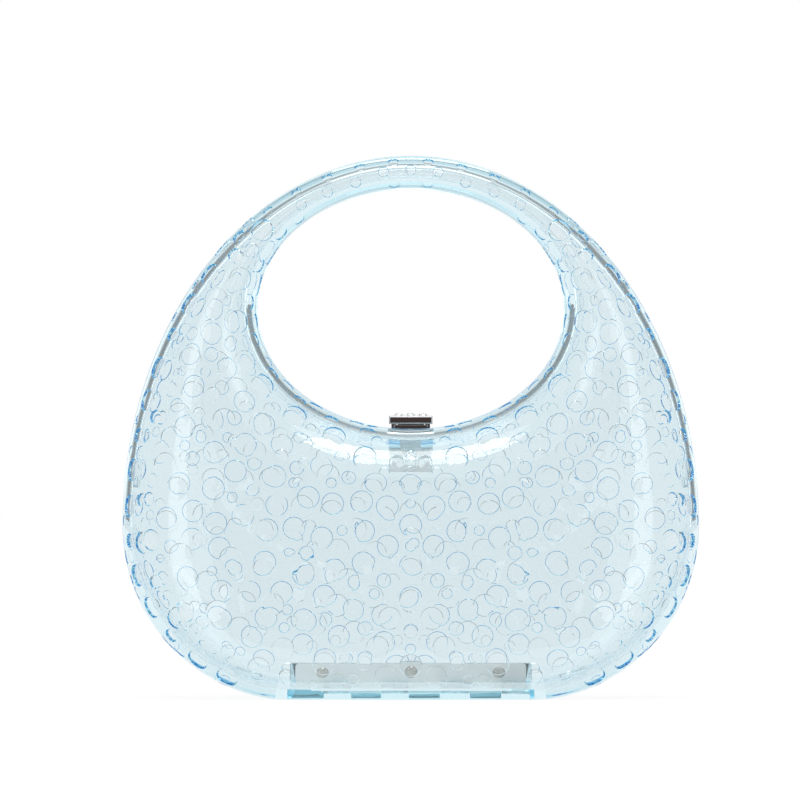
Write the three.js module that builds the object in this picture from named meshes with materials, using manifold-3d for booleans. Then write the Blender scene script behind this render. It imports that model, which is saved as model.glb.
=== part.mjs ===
// A clear acrylic clamshell evening bag: two moulded halves with a hand hole, a piano hinge in the
// base and a stone-set clasp on the rim of the hole. Millimetres, +Z up, the front faces -Y, and the
// origin is under the middle of the base.

import * as THREE from 'three';
import { mergeVertices } from 'three/addons/utils/BufferGeometryUtils.js';
import { ParametricGeometry } from 'three/addons/geometries/ParametricGeometry.js';
import Module from 'manifold-3d';

const wasm = await Module();
wasm.setup();

// Outline from the front: half an ellipse, standing on two round corners and a flat base.
const WIDTH = 220;
const SHOULDER_Z = 66;
const ARCH_RISE = 141;
const BASE_TRIM = 0.8;
const CORNER_R = SHOULDER_Z + BASE_TRIM;
const CORNER_X = WIDTH / 2 - CORNER_R;

// Hand hole: an ellipse.
const HOLE_Z = 148.4;
const HOLE_HALF_WIDTH = 58.4;
const HOLE_HALF_HEIGHT = 45.6;
const RIM_Z = HOLE_Z - HOLE_HALF_HEIGHT;

// Depth and roundness of the sections taken on rays from the middle of the hole. They change from
// the handle's top to the base: a squareness of 2 is an ellipse and a larger one nearer a rectangle.
const HANDLE_HALF_DEPTH = 11;
const BELLY_HALF_DEPTH = 31;
const DEPTH_POWER = 1.5;
const HANDLE_SQUARENESS = 2.4;
const HOLE_SIDE = { squareness: 4, power: 4 };
const BASE_SIDE = { squareness: 30, power: 12 };

// Moulding.
const WALL = 3.4;
const FLOOR_Z = 3.2;
const SEAM_GAP = 0.3;
const FIT_GAP = 0.3;

// Hinge: an upright leaf on the cavity side of each rib, with straps under the rib to knuckles that
// lie in a slot of the base.
const HINGE_LENGTH = 88;
const HINGE_Z = 2.2;
const KNUCKLES = 8;
const KNUCKLE_R = 1.9;
const KNUCKLE_BORE_R = 1.2;
const HINGE_PIN_R = 0.9;
const LEAF_THICK = 0.8;
const LEAF_TOP_Z = 13;
const STRAP_LOW_Z = HINGE_Z + 0.4;
const RIB_LENGTH = 92;
const RIB_THICK = 3.6;
const RIB_FAR_Y = FIT_GAP + RIB_THICK;
const LEAF_NEAR_Y = RIB_FAR_Y + FIT_GAP;
const LEAF_FAR_Y = LEAF_NEAR_Y + LEAF_THICK;
const SLOT_HALF_DEPTH = LEAF_FAR_Y + FIT_GAP;
const SLOT_TOP_Z = HINGE_Z + KNUCKLE_R + 2 * FIT_GAP;
const GROOVE_HALF_LENGTH = 62;
const GROOVE_APEX_Z = HINGE_Z + FIT_GAP;
const GROOVE_FOOT_Z = -0.6;
const RIVET_XS = [-33.6, 0, 33.6];
const RIVET_Z = 9.2;
const RIVET_R = 1;
const RIVET_HEAD_R = 2.4;
const RIVET_HEAD_TALL = 1.3;

// Clasp: blocks on a flat landing of the rim, a tang through each rim to a plate inside.
const LANDING_Z = RIM_Z - 0.6;
const LANDING_HALF_WIDTH = 8.6;
const LANDING_HALF_DEPTH = 12;
const BLOCK_HALF_WIDTH = 6.35;
const BLOCK_FOOT_Z = LANDING_Z + FIT_GAP;
const BLOCK_TOP_Z = BLOCK_FOOT_Z + 1.7;
const BLOCK_NEAR_Y = 0.6;
const CATCH_FAR_Y = 6.6;
const CLASP_BASE_FAR_Y = 7.2;
const CLASP_PIN_Y = 5.7;
const CLASP_PIN_Z = BLOCK_TOP_Z + 1.1;
const CLASP_PIN_R = 0.7;
const CLASP_BORE_R = CLASP_PIN_R + FIT_GAP;
const EAR_NEAR_X = 5.4;
const EAR_FAR_X = 7.4;
const EAR_R = 1.6;
const TANG_HALF_WIDTH = 3.8;
const TANG_NEAR_Y = 2.7;
const TANG_THICK = 1.5;
const PLATE_HALF_WIDTH = 8;
const PLATE_LOW_Z = 86.6;
const PLATE_TOP_Z = 95.8;
const FOOT_HALF_WIDTH = 3.4;
const FOOT_TALL = 1;
const FOOT_REACH = 2.2;
const BOSS_HALF_WIDTH = 8.2;
const BOSS_NEAR_Y = 0.9;
const BOSS_FAR_Y = 9;
const SCREW_Z = 93.5;
const SCREW_R = 0.8;
const SCREW_HEAD_R = 2.4;
const SCREW_HEAD_TALL = 1.5;

// Domed heads of rivets and screws: shares of the head's radius and of its height.
const DOME = [
  { out: 0, rise: 1 },
  { out: 0.5, rise: 0.9 },
  { out: 0.85, rise: 0.55 },
  { out: 1, rise: 0 },
];

// Lever, in the frame of its pin: the plate lies forward of the pin and its lip turns down.
const LEVER_HALF_WIDTH = 8.25;
const LEVER_FRONT_Y = -13.1;
const LEVER_SHOULDER_Y = -2.3;
const LEVER_LOW_Z = 1.1;
const LEVER_TOP_Z = 2.3;
const LIP_THICK = 1.2;
const LIP_LOW_Z = -0.7;
const TONGUE_HALF_WIDTH = EAR_NEAR_X - FIT_GAP;
const LEVER_KNUCKLE_R = 1.5;

// Stones: two rows of three on the lever.
const STONE_PITCH_X = 4.6;
const STONE_PITCH_Y = 4.6;
const STONE_COLUMNS = 3;
const STONE_ROWS = 2;
const STONE_SIDES = 8;
const STONE_R = 1.9;
const STONE_TABLE_R = 1.15;
const STONE_CULET_R = 1.1;
const STONE_SUNK = 0.5;
const STONE_GIRDLE = [0.15, 0.3];
const STONE_CROWN = 1;
const SEAT_R = STONE_R + 0.25;
const SEAT_DEEP = STONE_SUNK + FIT_GAP;

// Locating tabs, at these angles round the hole.
const TAB_ANGLES_DEG = [-31, -66, 211, 246];
const TAB_THICK = 2.4;
const TAB_LENGTH = 11;
const TAB_FRONT_Y = -4;
const TAB_BACK_Y = 5;
const TAB_GAP = 1.1;
const TAB_AIM_STEP = 0.01;

// Fineness of the facets.
const RING_RAYS = 64;
const RAY_CROWDING = 0.35;
const OUTER_FACETS = 32;
const CAVITY_FACETS = 24;
const ROUND_SIDES = 12;
const HALVINGS = 40;
const WELD = 1e-4;

const FAR = 2 * WIDTH;
const SEAM_Y = SEAM_GAP / 2;

const FINISHES = {
  acrylic: { color: 0xbcdff0, roughness: 0.04, metalness: 0, transparent: true, opacity: 0.45 },
  clear: { color: 0xe4f2f8, roughness: 0.05, metalness: 0, transparent: true, opacity: 0.4 },
  chrome: { color: 0xcfd2d4, roughness: 0.08, metalness: 1 },
  steel: { color: 0xb4b8ba, roughness: 0.25, metalness: 1 },
  stone: { color: 0xf2f6fa, roughness: 0.02, metalness: 0, transparent: true, opacity: 0.6 },
};

// A closed geometry as a solid that can be joined and cut.
function solid(geometry) {
  const bare = geometry.clone();
  bare.deleteAttribute('normal');
  bare.deleteAttribute('uv');
  const welded = mergeVertices(bare, WELD);
  const mesh = new wasm.Mesh({
    numProp: 3,
    vertProperties: new Float32Array(welded.attributes.position.array),
    triVerts: new Uint32Array(welded.index.array),
  });
  return new wasm.Manifold(mesh);
}

// The geometry of a solid.
function geometryOf(body) {
  const mesh = body.getMesh();
  const geometry = new THREE.BufferGeometry();
  geometry.setAttribute('position', new THREE.BufferAttribute(mesh.vertProperties, 3));
  geometry.setIndex(new THREE.BufferAttribute(mesh.triVerts, 1));
  geometry.computeVertexNormals();
  return geometry;
}

// A box between two limits on each axis.
function block([x0, x1], [y0, y1], [z0, z1]) {
  const box = new THREE.BoxGeometry(x1 - x0, y1 - y0, z1 - z0);
  return solid(box.translate((x0 + x1) / 2, (y0 + y1) / 2, (z0 + z1) / 2));
}

// A round rod along X.
function rodX(radius, [x0, x1], y, z) {
  const rod = new THREE.CylinderGeometry(radius, radius, x1 - x0, ROUND_SIDES);
  return solid(rod.rotateZ(Math.PI / 2).translate((x0 + x1) / 2, y, z));
}

// A round rod along Y.
function rodY(radius, [y0, y1], x, z) {
  const rod = new THREE.CylinderGeometry(radius, radius, y1 - y0, ROUND_SIDES);
  return solid(rod.translate(x, (y0 + y1) / 2, z));
}

// A round rod along Z.
function rodZ(radius, [z0, z1], x, y) {
  const rod = new THREE.CylinderGeometry(radius, radius, z1 - z0, ROUND_SIDES);
  return solid(rod.rotateX(Math.PI / 2).translate(x, y, (z0 + z1) / 2));
}

// Half the outline's width at a height.
function halfWidthAt(z) {
  if (z >= SHOULDER_Z) {
    return (WIDTH / 2) * Math.sqrt(Math.max(0, 1 - ((z - SHOULDER_Z) / ARCH_RISE) ** 2));
  }
  return CORNER_X + Math.sqrt(Math.max(0, CORNER_R ** 2 - (SHOULDER_Z - z) ** 2));
}

// Distance from the middle of the hole to the outline along a ray, found by halving.
function reachToOutline(angle) {
  let near = 0;
  let far = FAR;
  for (let step = 0; step < HALVINGS; step += 1) {
    const middle = (near + far) / 2;
    const z = HOLE_Z + middle * Math.sin(angle);
    const inside = z > -BASE_TRIM && Math.abs(middle * Math.cos(angle)) < halfWidthAt(z);
    if (inside) near = middle;
    else far = middle;
  }
  return near;
}

// Distance from the middle of the hole to its edge along a ray.
function reachToHole(angle) {
  return 1 / Math.hypot(Math.cos(angle) / HOLE_HALF_WIDTH, Math.sin(angle) / HOLE_HALF_HEIGHT);
}

// A point of the bag's surface, or of one sunk below it by inset: the ray's angle round the hole,
// and the turn round its section from the outer edge (0) over the back to the hole's edge (pi).
function surfacePoint(angle, turn, inset, target) {
  const lowness = (1 - Math.sin(angle)) / 2;
  const inner = reachToHole(angle) + inset;
  const outer = reachToOutline(angle) - inset;
  const swell = (BELLY_HALF_DEPTH - HANDLE_HALF_DEPTH) * lowness ** DEPTH_POWER;
  const halfDepth = HANDLE_HALF_DEPTH + swell - inset;
  const side = Math.cos(turn) > 0 ? BASE_SIDE : HOLE_SIDE;
  const squareness = HANDLE_SQUARENESS + (side.squareness - HANDLE_SQUARENESS) * lowness ** side.power;
  const along = Math.abs(Math.cos(turn)) ** squareness;
  const across = Math.abs(Math.sin(turn)) ** squareness;
  const reach = (along + across) ** (-1 / squareness);
  const distance = (inner + outer) / 2 + (reach * (outer - inner) * Math.cos(turn)) / 2;
  const z = HOLE_Z + distance * Math.sin(angle);
  return target.set(distance * Math.cos(angle), reach * halfDepth * Math.sin(turn), z);
}

// The closed ring that lies inset below the bag's surface. Its rays crowd towards the long base.
function ring(inset, facets) {
  const place = (u, v, target) => {
    const angle = 2 * Math.PI * v - RAY_CROWDING * Math.cos(2 * Math.PI * v);
    return surfacePoint(angle, 2 * Math.PI * u, inset, target);
  };
  return solid(new ParametricGeometry(place, facets, RING_RAYS));
}

// The groove under the seam that lets the halves swing open beyond the hinge's ends.
function seamGroove() {
  const spread = GROOVE_APEX_Z - GROOVE_FOOT_Z;
  const shape = new THREE.Shape();
  shape.moveTo(-spread, GROOVE_FOOT_Z);
  shape.lineTo(spread, GROOVE_FOOT_Z);
  shape.lineTo(0, GROOVE_APEX_Z);
  shape.closePath();
  const prism = new THREE.ExtrudeGeometry(shape, {
    depth: 2 * GROOVE_HALF_LENGTH,
    bevelEnabled: false,
  });
  prism.translate(0, 0, -GROOVE_HALF_LENGTH);
  // The shape's x and y become Y and Z, and its depth becomes X.
  return solid(prism.rotateX(Math.PI / 2).rotateZ(Math.PI / 2));
}

// The front half of the body and handle, with its hinge rib, its clasp boss and the cuts for both.
function makeShell() {
  const body = ring(0, OUTER_FACETS).intersect(block([-FAR, FAR], [-FAR, FAR], [0, FAR]));
  const cavity = ring(WALL, CAVITY_FACETS).intersect(
    block([-FAR, FAR], [-FAR, FAR], [FLOOR_Z, FAR]),
  );
  const rib = block(
    [-RIB_LENGTH / 2, RIB_LENGTH / 2],
    [-RIB_FAR_Y, -FIT_GAP],
    [FLOOR_Z / 2, LEAF_TOP_Z],
  );
  const boss = block(
    [-BOSS_HALF_WIDTH, BOSS_HALF_WIDTH],
    [-BOSS_FAR_Y, -BOSS_NEAR_Y],
    [PLATE_TOP_Z + FIT_GAP, RIM_Z - WALL / 2],
  );
  const hingeEnd = HINGE_LENGTH / 2 + FIT_GAP;
  const slot = block(
    [-hingeEnd, hingeEnd],
    [-SLOT_HALF_DEPTH, SLOT_HALF_DEPTH],
    [-BASE_TRIM, SLOT_TOP_Z],
  );
  const landing = block(
    [-LANDING_HALF_WIDTH, LANDING_HALF_WIDTH],
    [-LANDING_HALF_DEPTH, LANDING_HALF_DEPTH],
    [LANDING_Z, HOLE_Z],
  );
  const tangHole = block(
    [-TANG_HALF_WIDTH - FIT_GAP, TANG_HALF_WIDTH + FIT_GAP],
    [-TANG_NEAR_Y - TANG_THICK - FIT_GAP, -TANG_NEAR_Y + FIT_GAP],
    [PLATE_TOP_Z, HOLE_Z],
  );
  let shell = body.subtract(cavity).intersect(block([-FAR, FAR], [-FAR, -SEAM_Y], [-FAR, FAR]));
  shell = shell.add(rib).add(boss).subtract(slot).subtract(seamGroove());
  shell = shell.subtract(landing).subtract(tangHole);
  for (const x of RIVET_XS) {
    shell = shell.subtract(rodY(RIVET_R + FIT_GAP, [-2 * RIB_FAR_Y, 0], x, RIVET_Z));
  }
  return shell;
}

// The front hinge leaf: an upright plate, with straps from its foot to every second knuckle.
function makeLeaf() {
  const half = HINGE_LENGTH / 2;
  const pitch = HINGE_LENGTH / KNUCKLES;
  const strapZ = [STRAP_LOW_Z, STRAP_LOW_Z + LEAF_THICK];
  let leaf = block([-half, half], [-LEAF_FAR_Y, -LEAF_NEAR_Y], [STRAP_LOW_Z, LEAF_TOP_Z]);
  for (let index = 1; index < KNUCKLES; index += 2) {
    const left = -half + index * pitch + FIT_GAP / 2;
    const x = [left, left + pitch - FIT_GAP];
    leaf = leaf.add(block(x, [-LEAF_FAR_Y, -KNUCKLE_BORE_R], strapZ));
    leaf = leaf.add(rodX(KNUCKLE_R, x, 0, HINGE_Z));
  }
  leaf = leaf.subtract(rodX(KNUCKLE_BORE_R, [-HINGE_LENGTH, HINGE_LENGTH], 0, HINGE_Z));
  for (const x of RIVET_XS) {
    leaf = leaf.subtract(rodY(RIVET_R + FIT_GAP, [-2 * RIB_FAR_Y, 0], x, RIVET_Z));
  }
  return leaf;
}

// A domed head on a plain shank along Y: the head lies below y = 0 and the shank above it.
function domedFastener(headRadius, headTall, shankRadius, shankLength) {
  const profile = DOME.map(({ out, rise }) => new THREE.Vector2(out * headRadius, -rise * headTall));
  profile.push(new THREE.Vector2(shankRadius, 0));
  profile.push(new THREE.Vector2(shankRadius, shankLength));
  profile.push(new THREE.Vector2(0, shankLength));
  return solid(new THREE.LatheGeometry(profile, ROUND_SIDES));
}

// The front plate inside the shell: a tang through the rim, a wider plate and a foot turned forward.
function makeBracket() {
  const y = [-TANG_NEAR_Y - TANG_THICK, -TANG_NEAR_Y];
  const tang = block([-TANG_HALF_WIDTH, TANG_HALF_WIDTH], y, [PLATE_LOW_Z, LANDING_Z]);
  const plate = block([-PLATE_HALF_WIDTH, PLATE_HALF_WIDTH], y, [PLATE_LOW_Z, PLATE_TOP_Z]);
  const foot = block(
    [-FOOT_HALF_WIDTH, FOOT_HALF_WIDTH],
    [y[0] - FOOT_REACH, y[1]],
    [PLATE_LOW_Z, PLATE_LOW_Z + FOOT_TALL],
  );
  const bore = rodY(SCREW_R + FIT_GAP, [y[0] - FIT_GAP, y[1] + FIT_GAP], 0, SCREW_Z);
  return tang.add(plate).add(foot).subtract(bore);
}

// The block on the front rim, under the lever's lip.
function makeCatch() {
  return block(
    [-BLOCK_HALF_WIDTH, BLOCK_HALF_WIDTH],
    [-CATCH_FAR_Y, -BLOCK_NEAR_Y],
    [BLOCK_FOOT_Z, BLOCK_TOP_Z],
  );
}

// The block on the rear rim, with two ears for the lever's pin.
function makeClaspBase() {
  let base = block(
    [-BLOCK_HALF_WIDTH, BLOCK_HALF_WIDTH],
    [BLOCK_NEAR_Y, CLASP_BASE_FAR_Y],
    [BLOCK_FOOT_Z, BLOCK_TOP_Z],
  );
  const trough = LEVER_KNUCKLE_R + FIT_GAP;
  base = base.subtract(rodX(trough, [-EAR_NEAR_X, EAR_NEAR_X], CLASP_PIN_Y, CLASP_PIN_Z));
  for (const x of [[-EAR_FAR_X, -EAR_NEAR_X], [EAR_NEAR_X, EAR_FAR_X]]) {
    const foot = [CLASP_PIN_Y - EAR_R, CLASP_PIN_Y + EAR_R];
    base = base.add(block(x, foot, [BLOCK_FOOT_Z, CLASP_PIN_Z]));
    base = base.add(rodX(EAR_R, x, CLASP_PIN_Y, CLASP_PIN_Z));
  }
  return base.subtract(rodX(CLASP_BORE_R, [-WIDTH, WIDTH], CLASP_PIN_Y, CLASP_PIN_Z));
}

// Where the stones sit on the lever, in the frame of its pin.
function stonePlaces() {
  const middleY = (LEVER_FRONT_Y + LEVER_SHOULDER_Y) / 2;
  const places = [];
  for (let row = 0; row < STONE_ROWS; row += 1) {
    for (let column = 0; column < STONE_COLUMNS; column += 1) {
      const x = (column - (STONE_COLUMNS - 1) / 2) * STONE_PITCH_X;
      const y = middleY + (row - (STONE_ROWS - 1) / 2) * STONE_PITCH_Y;
      places.push(new THREE.Vector3(x, y, LEVER_TOP_Z));
    }
  }
  return places;
}

// The lever: a plate with a lip in front, a tongue and knuckle behind, and round seats on top.
function makeLever() {
  const plateX = [-LEVER_HALF_WIDTH, LEVER_HALF_WIDTH];
  const tongueX = [-TONGUE_HALF_WIDTH, TONGUE_HALF_WIDTH];
  let lever = block(plateX, [LEVER_FRONT_Y, LEVER_SHOULDER_Y], [LEVER_LOW_Z, LEVER_TOP_Z]);
  lever = lever.add(block(plateX, [LEVER_FRONT_Y, LEVER_FRONT_Y + LIP_THICK], [LIP_LOW_Z, LEVER_TOP_Z]));
  lever = lever.add(block(tongueX, [LEVER_SHOULDER_Y, 0], [LEVER_LOW_Z, LEVER_TOP_Z]));
  lever = lever.add(rodX(LEVER_KNUCKLE_R, tongueX, 0, 0));
  lever = lever.subtract(rodX(CLASP_BORE_R, [-WIDTH, WIDTH], 0, 0));
  for (const { x, y } of stonePlaces()) {
    lever = lever.subtract(rodZ(SEAT_R, [LEVER_TOP_Z - SEAT_DEEP, 2 * LEVER_TOP_Z], x, y));
  }
  return lever;
}

// A faceted stone with a flat table, its girdle just above z = 0.
function makeStone() {
  const profile = [
    new THREE.Vector2(0, -STONE_SUNK),
    new THREE.Vector2(STONE_CULET_R, -STONE_SUNK),
    new THREE.Vector2(STONE_R, STONE_GIRDLE[0]),
    new THREE.Vector2(STONE_R, STONE_GIRDLE[1]),
    new THREE.Vector2(STONE_TABLE_R, STONE_CROWN),
    new THREE.Vector2(0, STONE_CROWN),
  ];
  return solid(new THREE.LatheGeometry(profile, STONE_SIDES).rotateX(Math.PI / 2));
}

// A flat clear tab that lies against the inside of the wall, across the seam.
function makeTab() {
  return block(
    [-TAB_LENGTH / 2, TAB_LENGTH / 2],
    [TAB_FRONT_Y, TAB_BACK_Y],
    [-TAB_THICK / 2, TAB_THICK / 2],
  );
}

// Adds a named piece to a group and returns its mesh for placing.
function addPiece(group, name, body, finish) {
  const mesh = new THREE.Mesh(geometryOf(body), new THREE.MeshStandardMaterial(FINISHES[finish]));
  mesh.name = name;
  group.add(mesh);
  return mesh;
}

// What the two halves have in common, modelled as the front one.
function makeHalf(side) {
  const half = new THREE.Group();
  addPiece(half, `${side}_shell`, makeShell(), 'acrylic');
  addPiece(half, `hinge_leaf_${side}`, makeLeaf(), 'steel');
  const rivet = domedFastener(RIVET_HEAD_R, RIVET_HEAD_TALL, RIVET_R, LEAF_FAR_Y);
  RIVET_XS.forEach((x, index) => {
    const mesh = addPiece(half, `hinge_rivet_${side}_${index + 1}`, rivet, 'steel');
    mesh.position.set(x, -LEAF_FAR_Y - FIT_GAP, RIVET_Z);
  });
  addPiece(half, `clasp_bracket_${side}`, makeBracket(), 'chrome');
  const screw = domedFastener(SCREW_HEAD_R, SCREW_HEAD_TALL, SCREW_R, TANG_THICK + FIT_GAP);
  const screwMesh = addPiece(half, `clasp_screw_${side}`, screw, 'chrome');
  screwMesh.position.set(0, -TANG_NEAR_Y - TANG_THICK - FIT_GAP, SCREW_Z);
  return half;
}

// The lever with its stones, placed on its pin.
function makeLeverGroup() {
  const group = new THREE.Group();
  group.position.set(0, CLASP_PIN_Y, CLASP_PIN_Z);
  addPiece(group, 'clasp_lever', makeLever(), 'chrome');
  const stone = makeStone();
  stonePlaces().forEach((place, index) => {
    addPiece(group, `clasp_stone_${index + 1}`, stone, 'stone').position.copy(place);
  });
  return group;
}

// The four tabs, each turned to lie along the wall where it sits.
function addTabs(group) {
  const sunk = WALL + TAB_GAP + TAB_THICK / 2;
  const place = new THREE.Vector3();
  const ahead = new THREE.Vector3();
  TAB_ANGLES_DEG.forEach((degrees, index) => {
    const angle = THREE.MathUtils.degToRad(degrees);
    surfacePoint(angle, 0, sunk, place);
    surfacePoint(angle + TAB_AIM_STEP, 0, sunk, ahead);
    const tab = addPiece(group, `locating_tab_${index + 1}`, makeTab(), 'clear');
    tab.position.copy(place);
    tab.rotation.y = -Math.atan2(ahead.z - place.z, ahead.x - place.x);
  });
}

const backHalf = makeHalf('back');
backHalf.rotation.z = Math.PI;

const frontHalf = makeHalf('front');
addPiece(frontHalf, 'clasp_catch', makeCatch(), 'chrome');

const fittings = new THREE.Group();
const pinEnds = [-HINGE_LENGTH / 2, HINGE_LENGTH / 2];
const claspPinEnds = [-EAR_FAR_X, EAR_FAR_X];
addPiece(fittings, 'hinge_pin', rodX(HINGE_PIN_R, pinEnds, 0, HINGE_Z), 'steel');
addPiece(fittings, 'clasp_base', makeClaspBase(), 'chrome');
addPiece(fittings, 'clasp_pin', rodX(CLASP_PIN_R, claspPinEnds, CLASP_PIN_Y, CLASP_PIN_Z), 'steel');
addTabs(fittings);

const bag = new THREE.Group();
bag.add(backHalf, frontHalf, fittings, makeLeverGroup());

export default bag;
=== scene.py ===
"""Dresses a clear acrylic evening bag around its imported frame.

Two moulded shells with hundreds of round stone seats, a piano hinge in the base, a flip clasp set with
stones and four locating tabs. Sizes are in millimetres until a piece is finished, and the frame is in
metres: +X to the right, +Z up, the front of the bag towards -Y. Pieces that come in pairs are modelled
as the front one, and the back one is turned half round.
"""

import logging
import math
import random
from collections.abc import Iterable
from dataclasses import dataclass, field
from enum import Enum

import bmesh
import bpy
from bmesh.types import BMEdge, BMesh, BMVert
from bpy.types import Material, Mesh, Node, NodeSocket, NodeTree, Object
from mathutils import Matrix, Vector


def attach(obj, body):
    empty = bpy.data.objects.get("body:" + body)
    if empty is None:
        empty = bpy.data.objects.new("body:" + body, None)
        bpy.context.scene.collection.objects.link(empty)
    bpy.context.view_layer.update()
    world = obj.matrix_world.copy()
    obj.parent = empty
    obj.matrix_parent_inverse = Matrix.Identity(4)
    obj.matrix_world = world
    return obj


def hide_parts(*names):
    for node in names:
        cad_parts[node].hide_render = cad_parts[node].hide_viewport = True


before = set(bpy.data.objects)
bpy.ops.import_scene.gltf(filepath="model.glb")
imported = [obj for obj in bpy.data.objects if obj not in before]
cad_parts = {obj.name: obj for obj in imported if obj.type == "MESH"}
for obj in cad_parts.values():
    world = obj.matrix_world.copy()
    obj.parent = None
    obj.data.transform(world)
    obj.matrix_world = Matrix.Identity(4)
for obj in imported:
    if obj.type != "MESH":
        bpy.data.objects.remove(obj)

LOG = logging.getLogger("evening_bag")
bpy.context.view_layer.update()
MM = 0.001
TAU = 2 * math.pi
MERGE_REACH = 1e-4

Triple = tuple[float, float, float]
Pair = tuple[float, float]
Ends = tuple[Triple, Triple]


class Body(Enum):
    """The rigid bodies of the frame."""

    BACK = "back_half"
    FRONT = "front_half"
    FLAP = "clasp_flap"


class Slot(Enum):
    """The record's material slots."""

    ACRYLIC = "acrylic_blue"
    CLEAR = "acrylic_clear"
    CHROME = "clasp_chrome"
    STEEL = "hinge_steel"
    CRYSTAL = "crystal"


class Side(Enum):
    """Which half of the bag: the sign of its Y."""

    FRONT = -1
    BACK = 1

    @property
    def body(self) -> Body:
        """The body that this half rides on."""
        return Body.FRONT if self is Side.FRONT else Body.BACK

    @property
    def word(self) -> str:
        """The half's word in the names of nodes."""
        return self.name.lower()


class Edge(Enum):
    """The two edges of the bag in the front view."""

    OUTLINE = "outline"
    HOLE = "hole"


class Carving(Enum):
    """How a tool changes a piece."""

    CUT = "DIFFERENCE"
    JOIN = "UNION"


Tool = tuple[Object, Carving]
SEAT_SEEDS = {Side.FRONT: 11, Side.BACK: 29}


def block(bm: BMesh, xs: Pair, ys: Pair, zs: Pair) -> None:
    """Adds a box.

    Args:
        bm: the mesh that gets the box.
        xs: where it starts and ends along X.
        ys: the same along Y.
        zs: the same along Z.
    """
    low, high = (Vector(corner) for corner in zip(xs, ys, zs))
    matrix = Matrix.Translation((low + high) / 2) @ Matrix.Diagonal((high - low).to_4d())
    bmesh.ops.create_cube(bm, size=1.0, matrix=matrix)


def rod(bm: BMesh, ends: Ends, radius: float, end_radius: float | None = None, segments: int = 32) -> None:
    """Adds a capped round rod or cone.

    Args:
        bm: the mesh that gets the rod.
        ends: the middles of its two ends.
        radius: its radius at the start.
        end_radius: its radius at the end, if that differs.
        segments: how many sides it has.
    """
    start, end = (Vector(place) for place in ends)
    along = end - start
    turn = Vector((0, 0, 1)).rotation_difference(along).to_matrix().to_4x4()
    bmesh.ops.create_cone(
        bm,
        cap_ends=True,
        segments=segments,
        radius1=radius,
        radius2=radius if end_radius is None else end_radius,
        depth=along.length,
        matrix=Matrix.Translation((start + end) / 2) @ turn,
    )


def sweep(bm: BMesh, corners: Iterable[Triple], along: Triple) -> None:
    """Adds a prism.

    Args:
        bm: the mesh that gets the prism.
        corners: the corners of its first end, in order.
        along: the way from there to its other end.
    """
    face = bm.faces.new([bm.verts.new(corner) for corner in corners])
    swept = bmesh.ops.extrude_face_region(bm, geom=[face])["geom"]
    moved = [item for item in swept if isinstance(item, BMVert)]
    bmesh.ops.translate(bm, verts=moved, vec=along)
    bmesh.ops.recalc_face_normals(bm, faces=bm.faces)


def turned(bm: BMesh, profile: Iterable[Pair], middle: Triple, segments: int = 32) -> None:
    """Adds a body turned about an axis along Y.

    Args:
        bm: the mesh that gets the body.
        profile: its radii and places along Y, from one end of the axis to the other.
        middle: the point that the places are measured from.
        segments: how many steps the turn has.
    """
    x, y, z = middle
    chain = [bm.verts.new((x + radius, y + along, z)) for radius, along in profile]
    edges = [bm.edges.new(pair) for pair in zip(chain, chain[1:])]
    bmesh.ops.spin(
        bm, geom=chain + edges, cent=middle, axis=(0, 1, 0), angle=TAU, steps=segments, use_merge=True
    )
    bmesh.ops.remove_doubles(bm, verts=bm.verts, dist=MERGE_REACH)
    bmesh.ops.recalc_face_normals(bm, faces=bm.faces)


def headed(shank: Pair, head: Pair, flat: float = 0.0, steps: int = 8) -> list[Pair]:
    """The profile of a rivet or a screw.

    Args:
        shank: the shank's radius and length.
        head: the head's radius and rise.
        flat: the radius of the flat top of the head.
        steps: how many facets the head's round edge has.

    Returns:
        Its radii and places along the axis, from the shank's end to the head's top.
    """
    profile = [(0.0, shank[1]), shank, (shank[0], 0.0)]
    for count in range(steps + 1):
        turn = TAU / 4 * count / steps
        profile.append((flat + (head[0] - flat) * math.cos(turn), -head[1] * math.sin(turn)))
    return profile + [(0.0, -head[1])]


def ease_edges(bm: BMesh, edges: Iterable[BMEdge], width: float, segments: int = 2) -> None:
    """Rounds edges over.

    Args:
        bm: the mesh.
        edges: the edges to round.
        width: how far the rounding reaches.
        segments: how many facets it has.
    """
    bmesh.ops.bevel(
        bm,
        geom=list(edges),
        offset=width,
        offset_type="OFFSET",
        segments=segments,
        profile=0.5,
        affect="EDGES",
        clamp_overlap=True,
        material=-1,
    )


def shade(mesh: Mesh, crease_deg: float) -> None:
    """Shades a mesh smooth, apart from edges sharper than an angle."""
    mesh.shade_smooth()
    mesh.set_sharp_from_angle(angle=math.radians(crease_deg))


def to_object(bm: BMesh, name: str, crease_deg: float = 35.0) -> Object:
    """Turns a mesh in millimetres into an object in metres.

    Args:
        bm: the mesh, which is freed.
        name: the object's name.
        crease_deg: edges sharper than this stay sharp.

    Returns:
        The new object, linked to the scene.
    """
    bmesh.ops.scale(bm, vec=(MM, MM, MM), verts=bm.verts)
    mesh = bpy.data.meshes.new(name)
    bm.to_mesh(mesh)
    bm.free()
    shade(mesh, crease_deg)
    piece = bpy.data.objects.new(name, mesh)
    bpy.context.scene.collection.objects.link(piece)
    return piece


def box_piece(name: str, *spans: tuple[Pair, Pair, Pair], ease: float = 0.0) -> Object:
    """Makes an object of boxes.

    Args:
        name: its name.
        spans: where each box starts and ends along X, Y and Z.
        ease: how far the rounding of its edges reaches, if they are rounded.

    Returns:
        The object.
    """
    bm = bmesh.new()
    for span in spans:
        block(bm, *span)
    if ease:
        ease_edges(bm, bm.edges, ease)
    return to_object(bm, name)


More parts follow.
